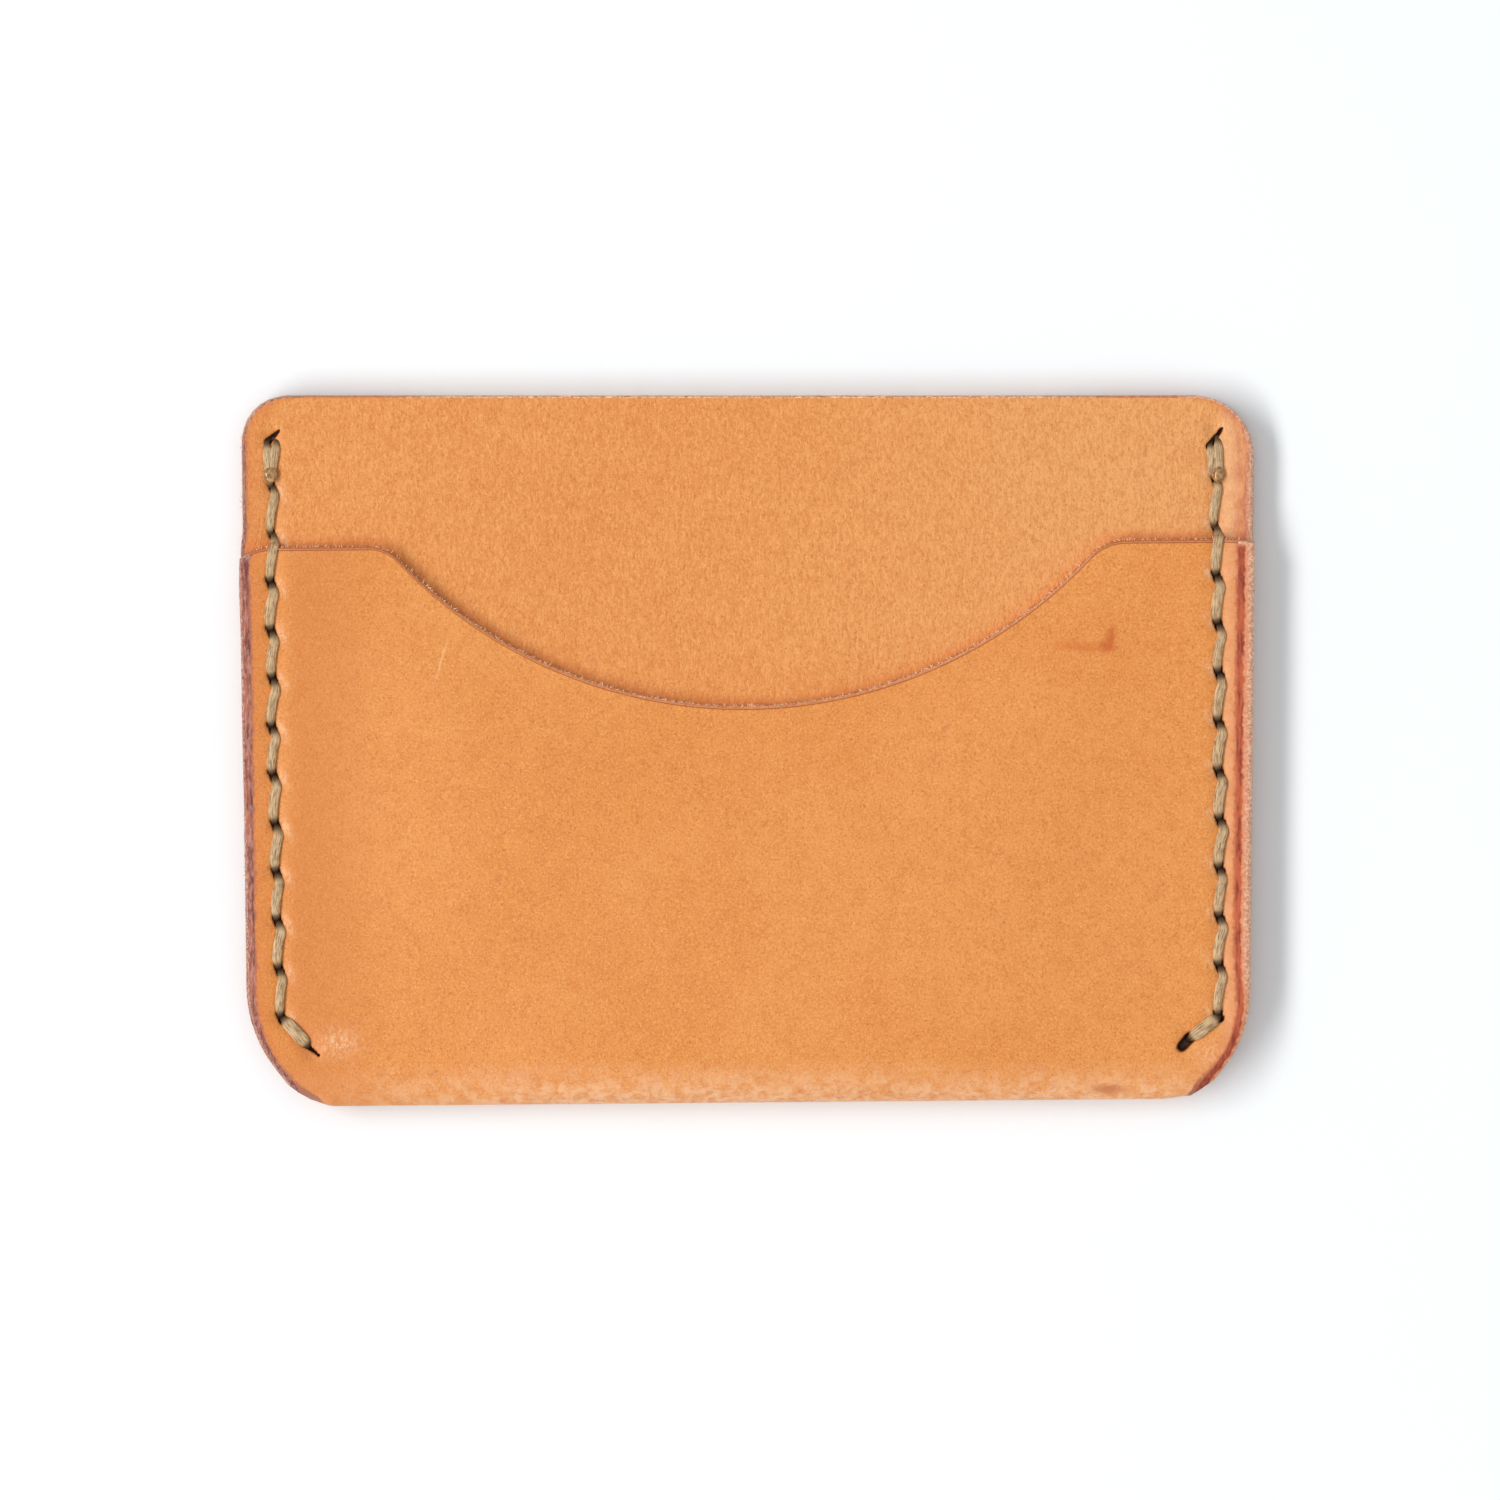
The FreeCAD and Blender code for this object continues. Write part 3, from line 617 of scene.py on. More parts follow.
def fibre(root, heading, sag, length, radius):
    """A loose sliver of leather: a curved three-sided spike, closed at its root."""
    points = []
    for step in range(FIBRE_STEPS):
        share = step / FIBRE_STEPS
        centre = root + heading * length * share + sag * share ** 2
        side = np.cross(heading, (0.3, 0.2, 0.9))
        side /= np.linalg.norm(side)
        tall = np.cross(side, heading)
        for turn in (0.0, 2 * math.pi / 3, 4 * math.pi / 3):
            out = math.cos(turn) * side + math.sin(turn) * tall
            points.append(centre + out * radius * (1 - 0.6 * share))
    points.append(root + heading * length + sag)
    faces = [(2, 1, 0)]
    for step in range(FIBRE_STEPS - 1):
        a, b = 3 * step, 3 * step + 3
        faces += [(a + k, a + (k + 1) % 3, b + (k + 1) % 3, b + k) for k in range(3)]
    last, tip = 3 * (FIBRE_STEPS - 1), 3 * FIBRE_STEPS
    faces += [(last + k, last + (k + 1) % 3, tip) for k in range(3)]
    return points, faces


def lip_height(x, y):
    """Height of the grain side along the front leaf's edge, where the leaf has sunk."""
    return MIDDLE + half_stack(x, y) - MOUTH_DROOP * swelling(x, y)


def fibre_roots(chance):
    """(root, way out of the leather) for the loose fibres along the pocket's edge and the sides."""
    x = chance.uniform(-FIBRE_SPAN, FIBRE_SPAN, MOUTH_FIBRES)
    y = mouth_line(x)
    slope = (mouth_line(x + 0.05) - y) / 0.05
    z = lip_height(x, y) - chance.uniform(0.05, 0.5, MOUTH_FIBRES)
    out = np.column_stack([-slope, np.ones_like(x), np.zeros_like(x)])
    roots = [(np.column_stack([x, y - 0.12, z]), out)]
    for side, sign in SIGN.items():
        y = chance.uniform(FOLD_Y + 2.5, TOP - 3.0, RIM_FIBRES)
        reach = chance.uniform(0.15, 0.6, RIM_FIBRES)
        x = BACK_OUTLINE.edge(side, y, reach)
        z = np.where(y < SHOULDER - 1.0, chance.uniform(0.45, 1.0, RIM_FIBRES) * STACK * 0.75, 1.6)
        out = np.column_stack([np.full_like(y, sign), -0.5 * smooth(-y, 20.0, 36.0), np.zeros_like(y)])
        roots.append((np.column_stack([x, y, z]), out))
    return roots


def with_fibres(points, faces, marks):
    """Adds loose fibres to the cut edges of the wrap."""
    chance = np.random.default_rng(64)
    extra = []
    for roots, ways in fibre_roots(chance):
        for root, way in zip(roots, ways):
            heading = way / np.linalg.norm(way) + chance.normal(0.0, 0.55, 3)
            heading /= np.linalg.norm(heading)
            sag = chance.normal(0.0, 0.07, 3)
            length = chance.uniform(*FIBRE_LENGTH)
            spike, spike_faces = fibre(root, heading, sag, length, chance.uniform(*FIBRE_RADIUS))
            start = len(points) + len(extra)
            extra += spike
            faces += [tuple(k + start for k in face) for face in spike_faces]
    values = {"cut": FIBRE_MARK, "side_gap": FAR, "mouth_gap": FAR, "front": 1.0}
    marks = {key: np.concatenate([value, np.full(len(extra), values.get(key, 0.0))])
             for key, value in marks.items()}
    return np.vstack([points, extra]), faces, marks


def make_wrap():
    """The folded strip, with cut edges that are square on the back leaf and bevelled in the bend."""
    outer, marks = wrap_grid("outer")
    inner, _ = wrap_grid("inner")
    rows, columns = outer.shape[:2]
    power = []
    for i, j in rim_order(rows, columns):
        front = marks["front"][i, j]
        leaf = SQUARE_EDGE + LEFT_FRONT_ROUNDER * front if j == 0 else SQUARE_EDGE
        in_bend = 4 * front * (1 - front)
        at_side = j in (0, columns - 1)
        power.append(leaf + (BEND_EDGE - leaf) * in_bend if at_side else SQUARE_EDGE)
    points, faces, marks = close_sheet(Sheet(outer, inner, marks), np.array(power), FUZZ["wrap"])
    return make_mesh("outer_wrap_leather", *with_fibres(points, faces, marks))


PANEL_INSET = {"left": 0.52, "right": 0.85}    # at the grain side, below the top corners


def panel_grid(face):
    """The divider's front or back surface."""
    total = TOP - PANEL_LOW
    seen = TOP - (SCOOP_Y - SCOOP_RADIUS) + 1.5    # below this the front leaf hides it
    fine = rows_from_top(seen, ROW_STEP["divider"], TOP_ROWS["divider"])
    hidden = seen + steps((total - seen, ROW_STEP["hidden"]))[1:]
    down = np.concatenate([fine, hidden])[::-1][:, None]
    cut = PANEL_CUT[face]

    def height(x):
        return TOP - cut - down * (TOP - cut - PANEL_LOW - SKEW * x) / total

    def inset(side):
        full = PANEL_INSET[side] if face == "outer" else cut
        least = min(full, cut)
        return lambda y: least + (full - least) * smooth(TOP - y, 0.5, 7.0) + narrow_top(side, y)

    x, y = lay_out(PANEL_OUTLINE, {side: inset(side) for side in SEAMS}, height)
    z = np.full_like(x, {"outer": PANEL_FRONT, "inner": PANEL_BACK}[face])
    deep, stretch_and_highlight = np.zeros_like(x), np.zeros_like(x)
    if face == "outer":
        relief, deep, stretch_and_highlight = seam_relief(x, y, 1.0)
        covered = smooth(mouth_line(x) - y, 0.0, 1.5)
        z = z - relief * (1 - 0.7 * covered)
        depth, size = WAVES["divider"]
        z = z - depth - depth * ripples(np.stack([x, y], axis=-1), size, 4)
    marks = {
        "pit": deep,
        "strain_and_highlight": stretch_and_highlight,
        "mouth_gap": OVER_MOUTH + np.clip(y - mouth_line(x), 0.0, 10.0),
        "side_gap": np.minimum(x - x[:, :1], x[:, -1:] - x),
        "front": np.ones_like(x),
    }
    return np.stack([x, y, z], axis=-1), marks


def make_divider():
    outer, marks = panel_grid("outer")
    inner, _ = panel_grid("inner")
    power = np.full(len(rim_order(*outer.shape[:2])), DIVIDER_EDGE)
    points, faces, marks = close_sheet(Sheet(outer, inner, marks), power, FUZZ["divider"])
    return make_mesh("divider_leather", points, faces, marks)


# ---------------------------------------------------------------- threads


Knot = namedtuple("Knot", "place width thick lean sunk")
THREAD_WIDTH, THREAD_THICK = 0.98, 0.36
HOLE_WIDTH, HOLE_THICK = 0.6, 0.5
CORNER_WIDTH = 1.3
STRAND = (0.08, 0.05)    # how far a strand lies off the hole's middle, across and along
SPREAD = 0.35            # how much further that is in a hole that hardly opens
CORNER_STOP = 0.09       # share of its length by which the corner stitch stops short of its hole
SWAY = ((0.3, 0.23, 0.15), (-0.16, 0.76, 0.17))    # a stitch's sideways waves: size, middle, reach
WIDTH_FACTORS, SWAY_FACTORS = (0.92, 1.1), (0.7, 1.1)    # between which single stitches vary
FRONT, BACK = 1, -1
RUN_SHAPE = (
    # share of the run, rise above the leather, share of the full width, how dark it is: wax and painted
    # shade where it sinks into a hole
    (0.0, -0.6, 0.0, 1.0),
    (0.05, -0.28, 0.15, 0.88),
    (0.1, -0.08, 0.4, 0.6),
    (0.17, 0.05, 0.74, 0.3),
    (0.27, 0.13, 0.95, 0.1),
    (0.4, 0.17, 1.0, 0.0),
    (0.52, 0.17, 0.97, 0.0),
    (0.64, 0.17, 1.0, 0.0),
    (0.77, 0.13, 0.94, 0.08),
    (0.86, 0.05, 0.7, 0.3),
    (0.92, -0.08, 0.36, 0.6),
    (0.96, -0.28, 0.12, 0.88),
    (1.0, -0.6, 0.0, 1.0),
)


def leather_height(x, y, face):
    """Height of the leather's surface under a stitch."""
    x, y = np.array([float(x)]), np.array([float(y)])
    half = half_stack(x, y)
    sunk = 0.14
    if face == BACK:
        return float(MIDDLE - half[0] + sunk)
    on_leaf = float(smooth(mouth_line(x) - y, -0.45, 0.25)[0])
    leaf = MIDDLE + half[0] - sunk
    return on_leaf * leaf + (1 - on_leaf) * (PANEL_FRONT - sunk)


def lean_of(start, end):
    """Angle across a run: the direction of the ribbon's width, pointing to the right."""
    heading = np.array(end) - np.array(start)
    lean = math.atan2(-heading[0], heading[1])
    if math.cos(lean) < 0:
        lean += math.pi
    return math.remainder(lean, 2 * math.pi)


def run_knots(start, end, face, width=THREAD_WIDTH, sway=0.0, dips=(1.0, 1.0)):
    """Places along one visible stitch, from the hole where it starts to the one where it ends.

    dips says how deep the stitch sinks at its two ends, as a share of the usual.
    """
    start, end = np.array(start), np.array(end)
    lean = lean_of(start, end)
    knots = []
    for share, rise, fullness, sunk in RUN_SHAPE:
        dip = dips[0] + (dips[1] - dips[0]) * share
        x, y = start + (end - start) * share
        x += sway * face * sum(size * bump(share, middle, reach) for size, middle, reach in SWAY)
        z = leather_height(x, y, face) + face * (max(rise, 0.0) + min(rise, 0.0) * dip)
        wide = HOLE_WIDTH + (width - HOLE_WIDTH) * fullness
        thick = HOLE_THICK + (THREAD_THICK - HOLE_THICK) * fullness
        knots.append(Knot((x, y, z), wide, thick, lean, sunk * dip))
    return knots


TOP_STRANDS = {    # where the two strands of the topmost stitch start, from the topmost hole
    "left": ((-0.5, -0.48), (0.56, -0.24)),
    "right": ((-0.34, -1.58), (0.44, -0.88)),
}
BEAD_PLACE = {"left": (-0.12, 1.15), "right": (0.3, 0.3)}    # from the second hole
TAIL_KNOTS = 9    # the melted end stops this far into the run's shape, under the bead


def bead_place(seam):
    return seam.holes[1] + BEAD_PLACE[seam.side]


def tail_knots(seam, face):
    """The thread's last stretch beside the topmost stitch, from its hole to the melted bead."""
    start = seam.holes[0] + TOP_STRANDS[seam.side][1]
    share = RUN_SHAPE[TAIL_KNOTS - 1][0]
    end = start + (bead_place(seam) - start) / share
    return run_knots(start, end, face, dips=(SHALLOW, 1.0))[:TAIL_KNOTS]


def thread_knots(seam):
    """The whole thread, from the melted end on the front to the one on the back.

    One length goes down the row and comes back up it, so each stitch shows once on each face. It
    ends on both faces with a second run beside the topmost stitch.
    """
    knots = tail_knots(seam, FRONT)[::-1]
    for hole in range(HOLES):
        knots += stitch(seam, hole, BACK if hole % 2 == 0 else FRONT)
    for hole in range(HOLES - 1, -1, -1):
        knots += stitch(seam, hole, FRONT if hole % 2 == 0 else BACK)[::-1]
    return knots + tail_knots(seam, BACK)


def stitch(seam, hole, face):
    """One stitch from a hole down to the next one, on one face."""
    upper, lower = seam.holes[hole], seam.holes[hole + 1]
    across, along = STRAND
    dips = (how_open(seam, hole), how_open(seam, hole + 1))
    start = upper + (face * (across + SPREAD * (1 - dips[0])), -along)
    end = lower + (-face * (across + SPREAD * (1 - dips[1])), along)
    if hole == 0:
        return run_knots(upper + TOP_STRANDS[seam.side][0], end, face, dips=dips)
    if hole == HOLES - 1:
        return run_knots(start, lower - (lower - upper) * CORNER_STOP, face, CORNER_WIDTH)
    chance = np.random.default_rng(1000 * hole + 10 * face + int(SIGN[seam.side]))
    width = THREAD_WIDTH * chance.uniform(*WIDTH_FACTORS)
    return run_knots(start, end, face, width, dips[0] * chance.uniform(*SWAY_FACTORS), dips)


def spline(values, places, targets):
    """Smooth curve through values at increasing places, by cubic pieces with bounded slopes."""
    slopes = np.gradient(values, places, axis=0)
    index = np.clip(np.searchsorted(places, targets) - 1, 0, len(places) - 2)
    span = (places[index + 1] - places[index])[:, None]
    t = ((targets - places[index]) / span[:, 0])[:, None]
    h00, h10 = 2 * t ** 3 - 3 * t ** 2 + 1, t ** 3 - 2 * t ** 2 + t
    h01, h11 = -2 * t ** 3 + 3 * t ** 2, t ** 3 - t ** 2
    return (h00 * values[index] + h10 * span * slopes[index]
            + h01 * values[index + 1] + h11 * span * slopes[index + 1])


SECTION, SECTION_STEP = 20, 0.14    # points round the thread, and the distance between sections
SECTION_POWERS = (0.8, 0.9)         # how full the section is towards its corners: 1 is an oval


def thread_line(seam):
    """The thread in even steps: distances along it, places, and (width, thickness, lean, darkness of its
    wax and painted shade).
    """
    knots = thread_knots(seam)
    centres = np.array([knot.place for knot in knots])
    others = np.array([[knot.width, knot.thick, knot.lean, knot.sunk] for knot in knots])
    lengths = np.linalg.norm(np.diff(centres, axis=0), axis=1)
    places = np.concatenate([[0.0], np.cumsum(np.maximum(lengths, 0.02))])
    targets = np.linspace(0.0, places[-1], round(places[-1] / SECTION_STEP))
    path = spline(centres, places, targets)
    return targets, path, [np.interp(targets, places, others[:, k]) for k in range(4)]


def sweep(path, width, thick, lean):
    """Flat sections along a path, and where their points lie across: -1 to 1."""
    tangent = np.gradient(path, axis=0)
    tangent /= np.linalg.norm(tangent, axis=1, keepdims=True)
    wide = np.column_stack([np.cos(lean), np.sin(lean), np.zeros_like(lean)])
    wide -= np.sum(wide * tangent, axis=1, keepdims=True) * tangent
    wide /= np.linalg.norm(wide, axis=1, keepdims=True)
    tall = np.cross(tangent, wide)
    angle = np.linspace(0.0, 2 * math.pi, SECTION, endpoint=False)
    out = np.sign(np.cos(angle)) * np.abs(np.cos(angle)) ** SECTION_POWERS[0]
    up = np.sign(np.sin(angle)) * np.abs(np.sin(angle)) ** SECTION_POWERS[1]
    sections = (path[:, None, :] + wide[:, None, :] * (width[:, None] / 2 * out)[..., None]
                + tall[:, None, :] * (thick[:, None] / 2 * up)[..., None])
    return sections, out


def make_thread(side):
    """The thread as one flat ribbon, with a melted bead at each end."""
    seam = SEAMS[side]
    targets, path, (width, thick, lean, sunk) = thread_line(seam)
    sections, out = sweep(path, width, thick, lean)
    count = len(path)
    points = sections.reshape(-1, 3)
    index = np.arange(count * SECTION).reshape(count, SECTION)
    ring = np.concatenate([index, index[:, :1]], axis=1)
    faces = [face[::-1] for face in grid_faces(ring)]
    faces.append(tuple(int(k) for k in index[0]))
    faces.append(tuple(int(k) for k in index[-1][::-1]))
    marks = {
        "sunk": np.repeat(sunk, SECTION),
        "along": np.repeat(targets, SECTION),
        "round": np.tile(out, count) * np.repeat(width, SECTION) / 2,
        "melted": np.zeros(len(points)),
    }
    for face in (FRONT, BACK):
        bead_points, bead_faces = bead(seam, face)
        start = len(points)
        points = np.vstack([points, bead_points])
        faces += [tuple(k + start for k in quad) for quad in bead_faces]
        for key in marks:
            fill = 1.0 if key == "melted" else 0.0
            marks[key] = np.concatenate([marks[key], np.full(len(bead_points), fill)])
    return make_mesh(f"{side}_thread", points, faces, marks)


BEAD_SIZE = {"left": (0.74, 0.78, 0.42), "right": (0.62, 0.78, 0.4)}
BEAD_SEED = {"left": 31, "right": 47}
BEAD_RISE = 0.3                         # of its middle above the leather
BEAD_LUMPS, BEAD_LUMP_SIZE = 0.1, 0.6   # as shares of its radius


def bead(seam, face):
    """A lumpy drop where the thread's end was melted down on the stitch."""
    rows, columns = 14, 20
    tilt = np.linspace(0.0, math.pi, rows + 1)[1:-1][:, None]
    turn = np.linspace(0.0, 2 * math.pi, columns, endpoint=False)[None, :]
    ball = np.stack([np.sin(tilt) * np.cos(turn), np.sin(tilt) * np.sin(turn), np.cos(tilt) + 0 * turn], -1)
    ball = np.concatenate([[[0, 0, 1]], ball.reshape(-1, 3), [[0, 0, -1]]])
    lumps = ripples(ball, BEAD_LUMP_SIZE, BEAD_SEED[seam.side] + face)
    ball = ball * (1 + BEAD_LUMPS * lumps)[:, None]
    x, y = bead_place(seam)
    centre = np.array([x, y, leather_height(x, y, face) + face * BEAD_RISE])
    points = centre + ball * np.array(BEAD_SIZE[seam.side])
    faces = []
    for j in range(columns):
        k = (j + 1) % columns
        faces.append((0, 1 + j, 1 + k))
        for i in range(rows - 2):
            a, b = 1 + i * columns, 1 + (i + 1) * columns
            faces.append((a + j, b + j, b + k, a + k))
        last = 1 + (rows - 2) * columns
        faces.append((last + j, len(points) - 1, last + k))
    return points, faces


# ---------------------------------------------------------------- materials


def tone(red, green, blue):
    """A colour given as 0 to 255 screen values, as the linear values that shaders use."""
    values = np.array([red, green, blue]) / 255.0
    linear = np.where(values <= 0.04045, values / 12.92, ((values + 0.055) / 1.055) ** 2.4)
    return (*linear.tolist(), 1.0)


class Nodes:
    """Short ways to build one material's node tree. Places are in millimetres."""

    def __init__(self, name):
        self.material = bpy.data.materials.new(name)
        self.material.use_nodes = True
        self.tree = self.material.node_tree
        self.shader = self.tree.nodes["Principled BSDF"]
        coordinates = self.tree.nodes.new("ShaderNodeTexCoord").outputs["Object"]
        self.place = self.vector("SCALE", coordinates, Scale=MM)
        parts = self.node("ShaderNodeSeparateXYZ", Vector=self.place)
        self.across, self.up = parts.outputs["X"], parts.outputs["Y"]

    def set(self, socket, value):
        if isinstance(value, bpy.types.NodeSocket):
            self.tree.links.new(value, socket)
        else:
            socket.default_value = value

    def node(self, kind, settings=None, values=(), **inputs):
        """A new node, its inputs given in order or by name."""
        node = self.tree.nodes.new(kind)
        for key, value in (settings or {}).items():
            setattr(node, key, value)
        for index, value in enumerate(values):
            self.set(node.inputs[index], value)
        for key, value in inputs.items():
            self.set(node.inputs[key.replace("_", " ")], value)
        return node

    def vector(self, operation, *values, **inputs):
        return self.node("ShaderNodeVectorMath", {"operation": operation}, values, **inputs).outputs[0]

    def math(self, operation, *values):
        return self.node("ShaderNodeMath", {"operation": operation}, values).outputs[0]

    def times(self, *factors):
        """The product of its factors."""
        product = factors[0]
        for factor in factors[1:]:
            product = self.math("MULTIPLY", product, factor)
        return product

    def uneven(self, value, waves, amount):
        """A value shaken by noise, up or down by half the amount."""
        return self.math("ADD", value, self.times(self.math("SUBTRACT", waves, 0.5), amount))

    def noise(self, size, detail=3.0, rough=0.55, place=None, twist=0.0):
        """Noise of about 0 to 1 whose patches are about size millimetres across."""
        source = self.place if place is None else place
        node = self.node("ShaderNodeTexNoise", Vector=source, Scale=1.0 / size, Detail=detail,
                         Roughness=rough, Distortion=twist)
        return node.outputs["Fac"]

    def stretch(self, scales):
        return self.vector("MULTIPLY", self.place, scales)

    def ease(self, value, low, high, bottom=0.0, top=1.0):
        """Eases from bottom, where value is low, to top, where it is high."""
        node = self.node("ShaderNodeMapRange", {"interpolation_type": "SMOOTHSTEP"}, Value=value,
                         From_Min=low, From_Max=high, To_Min=bottom, To_Max=top)
        return node.outputs[0]

    def by_side(self, left=0.0, right=1.0):
        """One number on the left half, another on the right."""
        return self.ease(self.across, -5.0, 5.0, left, right)

    def mix(self, factor, first, second):
        node = self.node("ShaderNodeMix", {"data_type": "RGBA"})
        self.set(node.inputs[0], factor)
        self.set(node.inputs[6], first)
        self.set(node.inputs[7], second)
        return node.outputs[2]

    def mark(self, name):
        return self.node("ShaderNodeAttribute", {"attribute_name": name}).outputs["Fac"]

    def spot(self, centre, reach, turn):
        """1 at a place on the front, falling to 0 at an oval's rim; turn is in degrees."""
        wobble = self.node("ShaderNodeTexNoise", Vector=self.place, Scale=1.2, Detail=4.0).outputs["Color"]
        shaken = self.vector("ADD", self.place, self.vector("SCALE", wobble, Scale=0.8))
        shifted = self.vector("SUBTRACT", shaken, (centre[0] + 0.4, centre[1] + 0.4, 0.0))
        mapping = self.node("ShaderNodeMapping", {"vector_type": "TEXTURE"}, Vector=shifted,
                            Rotation=(0.0, 0.0, math.radians(turn)), Scale=(reach[0], reach[1], 100.0))
        ball = self.node("ShaderNodeTexGradient", {"gradient_type": "SPHERICAL"},
                         Vector=mapping.outputs[0])
        return self.ease(ball.outputs["Fac"], 0.0, 0.8)

    def bump(self, height, depth, normal=None):
        """Bump whose full range of height stands for a depth in millimetres."""
        inputs = {"Height": height, "Distance": depth / MM, "Strength": 1.0}
        if normal is not None:
            inputs["Normal"] = normal
        return self.node("ShaderNodeBump", **inputs).outputs[0]

    def finish(self, colour, rough, normal, shine):
        self.set(self.shader.inputs["Base Color"], colour)
        self.set(self.shader.inputs["Roughness"], rough)
        self.set(self.shader.inputs["Normal"], normal)
        self.set(self.shader.inputs["Specular IOR Level"], shine)
        return self.material


LIGHT_TAN, DEEP_TAN, WARM_TAN = tone(222, 136, 60), tone(206, 116, 44), tone(226, 143, 69)
# the second tan here: painted shadow, the warm shade under the front leaf's edge on the divider
PALE_TAN, PAINTED_SHADOW_TAN = tone(231, 163, 100), tone(236, 132, 66)
PALE_SPECK, DARK_SPECK = tone(240, 168, 98), tone(186, 99, 36)
# the first pink here: stretched grain beside the stitches, partly a painted highlight where the grain faces
# the lamp
STRAIN_HIGHLIGHT_PINK, FOLD_PINK, FOLD_FLECK = tone(240, 182, 136), tone(240, 184, 138), tone(204, 116, 70)
HANDLED = tone(205, 116, 54)
BURNISH = {"left": tone(158, 94, 78), "right": tone(190, 96, 64)}
BURNISH_DARK = {"left": tone(112, 60, 52), "right": tone(140, 62, 48)}
BURNISH_STREAK = {"left": tone(206, 152, 134), "right": tone(204, 106, 72)}
BURNISH_FADE, BURNISH_SOFT, BURNISH_BLOTCH = tone(208, 110, 54), tone(188, 90, 52), tone(188, 92, 66)
# the raw cut edges: pale leather; the right side's and the mouths' are painted paler still, as painted
# light on cut faces that the lamp leaves in shade
RAW = {"left": tone(206, 160, 142), "right": tone(250, 202, 168), "mouth": tone(255, 204, 164)}
RAW_SPECK = {"left": tone(136, 88, 78), "right": tone(212, 140, 110), "mouth": tone(200, 122, 84)}
RAW_SHOULDER, RAW_REDDENED = tone(206, 118, 72), tone(224, 136, 98)
# the loose fibres: pale leather, painted paler still as painted light, since they lie in shade away from
# the lamp
LOOSE_FIBRE = tone(255, 214, 176)
CREASE_BROWN, LIP_BROWN = tone(148, 64, 34), tone(172, 92, 58)
FLESH, FLESH_SHADE = tone(226, 184, 150), tone(176, 128, 92)
# the slits' browns: dark dye and wax, with painted shade inside the holes
SLIT_DYE_AND_SHADE_BROWN, SLIT_DYE_AND_SHADE_BLACK = tone(112, 56, 30), tone(70, 36, 20)
THREAD_SHADE, THREAD_KHAKI, THREAD_WAX = tone(136, 102, 68), tone(210, 174, 130), tone(216, 190, 150)
# the thread's dark ends: wax, and painted shade where it sinks into the holes
THREAD_WAX_AND_SHADE_BROWN, THREAD_WAX_AND_SHADE_BLACK = tone(104, 78, 50), tone(50, 30, 18)
AMBER_SHADE, AMBER = tone(122, 76, 28), tone(186, 140, 80)

WEAR = (
    # ovals on the front leaf (middle, half size, turn), how strong, colour
    ((((33.4, 10.4), (3.8, 0.85), -4.0),), 0.6, tone(206, 106, 38)),
    ((((36.2, 10.4), (1.2, 1.1), 0.0), ((36.45, 11.2), (0.8, 2.0), -14.0)), 0.75, tone(192, 84, 22)),
    ((((-30.6, 8.9), (0.2, 3.2), -16.0),), 0.5, tone(245, 190, 136)),
    ((((-24.8, -12.8), (0.9, 0.45), 30.0),), 0.5, tone(196, 118, 62)),
    ((((19.9, 2.1), (0.9, 0.45), 30.0),), 0.5, tone(196, 118, 62)),
    ((((36.2, -34.0), (2.6, 0.7), 0.0),), 0.6, tone(176, 96, 60)),
)


def tanned(nodes, pale=0.0):
    """The grain side's colour: mottled tan, with finer light and dark speckle."""
    patches = nodes.noise(16.0, 3.0)
    mottle = nodes.noise(1.6, 5.0, 0.6)
    light = nodes.noise(0.19, 3.0, 0.7)
    dark = nodes.noise(0.24, 3.0, 0.7, nodes.stretch((1.0, 0.8, -1.0)))
    colour = nodes.mix(nodes.ease(patches, 0.35, 0.65), LIGHT_TAN, WARM_TAN)
    colour = nodes.mix(nodes.ease(mottle, 0.38, 0.72, 0.0, 0.42), colour, DEEP_TAN)
    colour = nodes.mix(pale, colour, PALE_TAN)
    colour = nodes.mix(nodes.ease(light, 0.45, 0.68, 0.0, 0.75), colour, PALE_SPECK)
    return nodes.mix(nodes.ease(dark, 0.5, 0.7, 0.0, 0.65), colour, DARK_SPECK)


def raw_edges(nodes, specks):
    """Colours of the cut edges where they are raw: at each side and at the mouths."""
    grainy = nodes.ease(specks, 0.38, 0.62)
    raw = {place: nodes.mix(grainy, RAW[place], RAW_SPECK[place]) for place in RAW}
    beside = nodes.ease(nodes.math("ABSOLUTE", nodes.across), 30.0, 38.0, 0.0, 0.8)
    raw["mouth"] = nodes.mix(beside, raw["mouth"], RAW_SHOULDER)
    return raw


def burnished_edges(nodes):
    """Colour of the cut edges where they are rubbed smooth: purple left, red-brown right."""
    patches = nodes.noise(1.5, 3.0, 0.6, nodes.stretch((3.0, 0.5, 1.0)))
    streaks = nodes.noise(0.35, 4.0, 0.65, nodes.stretch((1.6, 0.4, 1.0)))
    near_mouth = nodes.ease(nodes.up, SHOULDER - 7.0, SHOULDER - 3.0, 0.0, 0.8)
    near_fold = nodes.ease(nodes.up, -32.0, -24.0, 0.9, 0.0)
    dark = nodes.math("MAXIMUM", near_mouth, near_fold)
    dark = nodes.math("MAXIMUM", dark, nodes.ease(patches, 0.4, 0.62))
    pale = nodes.ease(streaks, 0.42, 0.62, 0.0, 0.45)
    sides = []
    for side in SIGN:
        rubbed = nodes.mix(dark, BURNISH[side], BURNISH_DARK[side])
        sides.append(nodes.mix(pale, rubbed, BURNISH_STREAK[side]))
    return nodes.mix(nodes.by_side(), *sides)


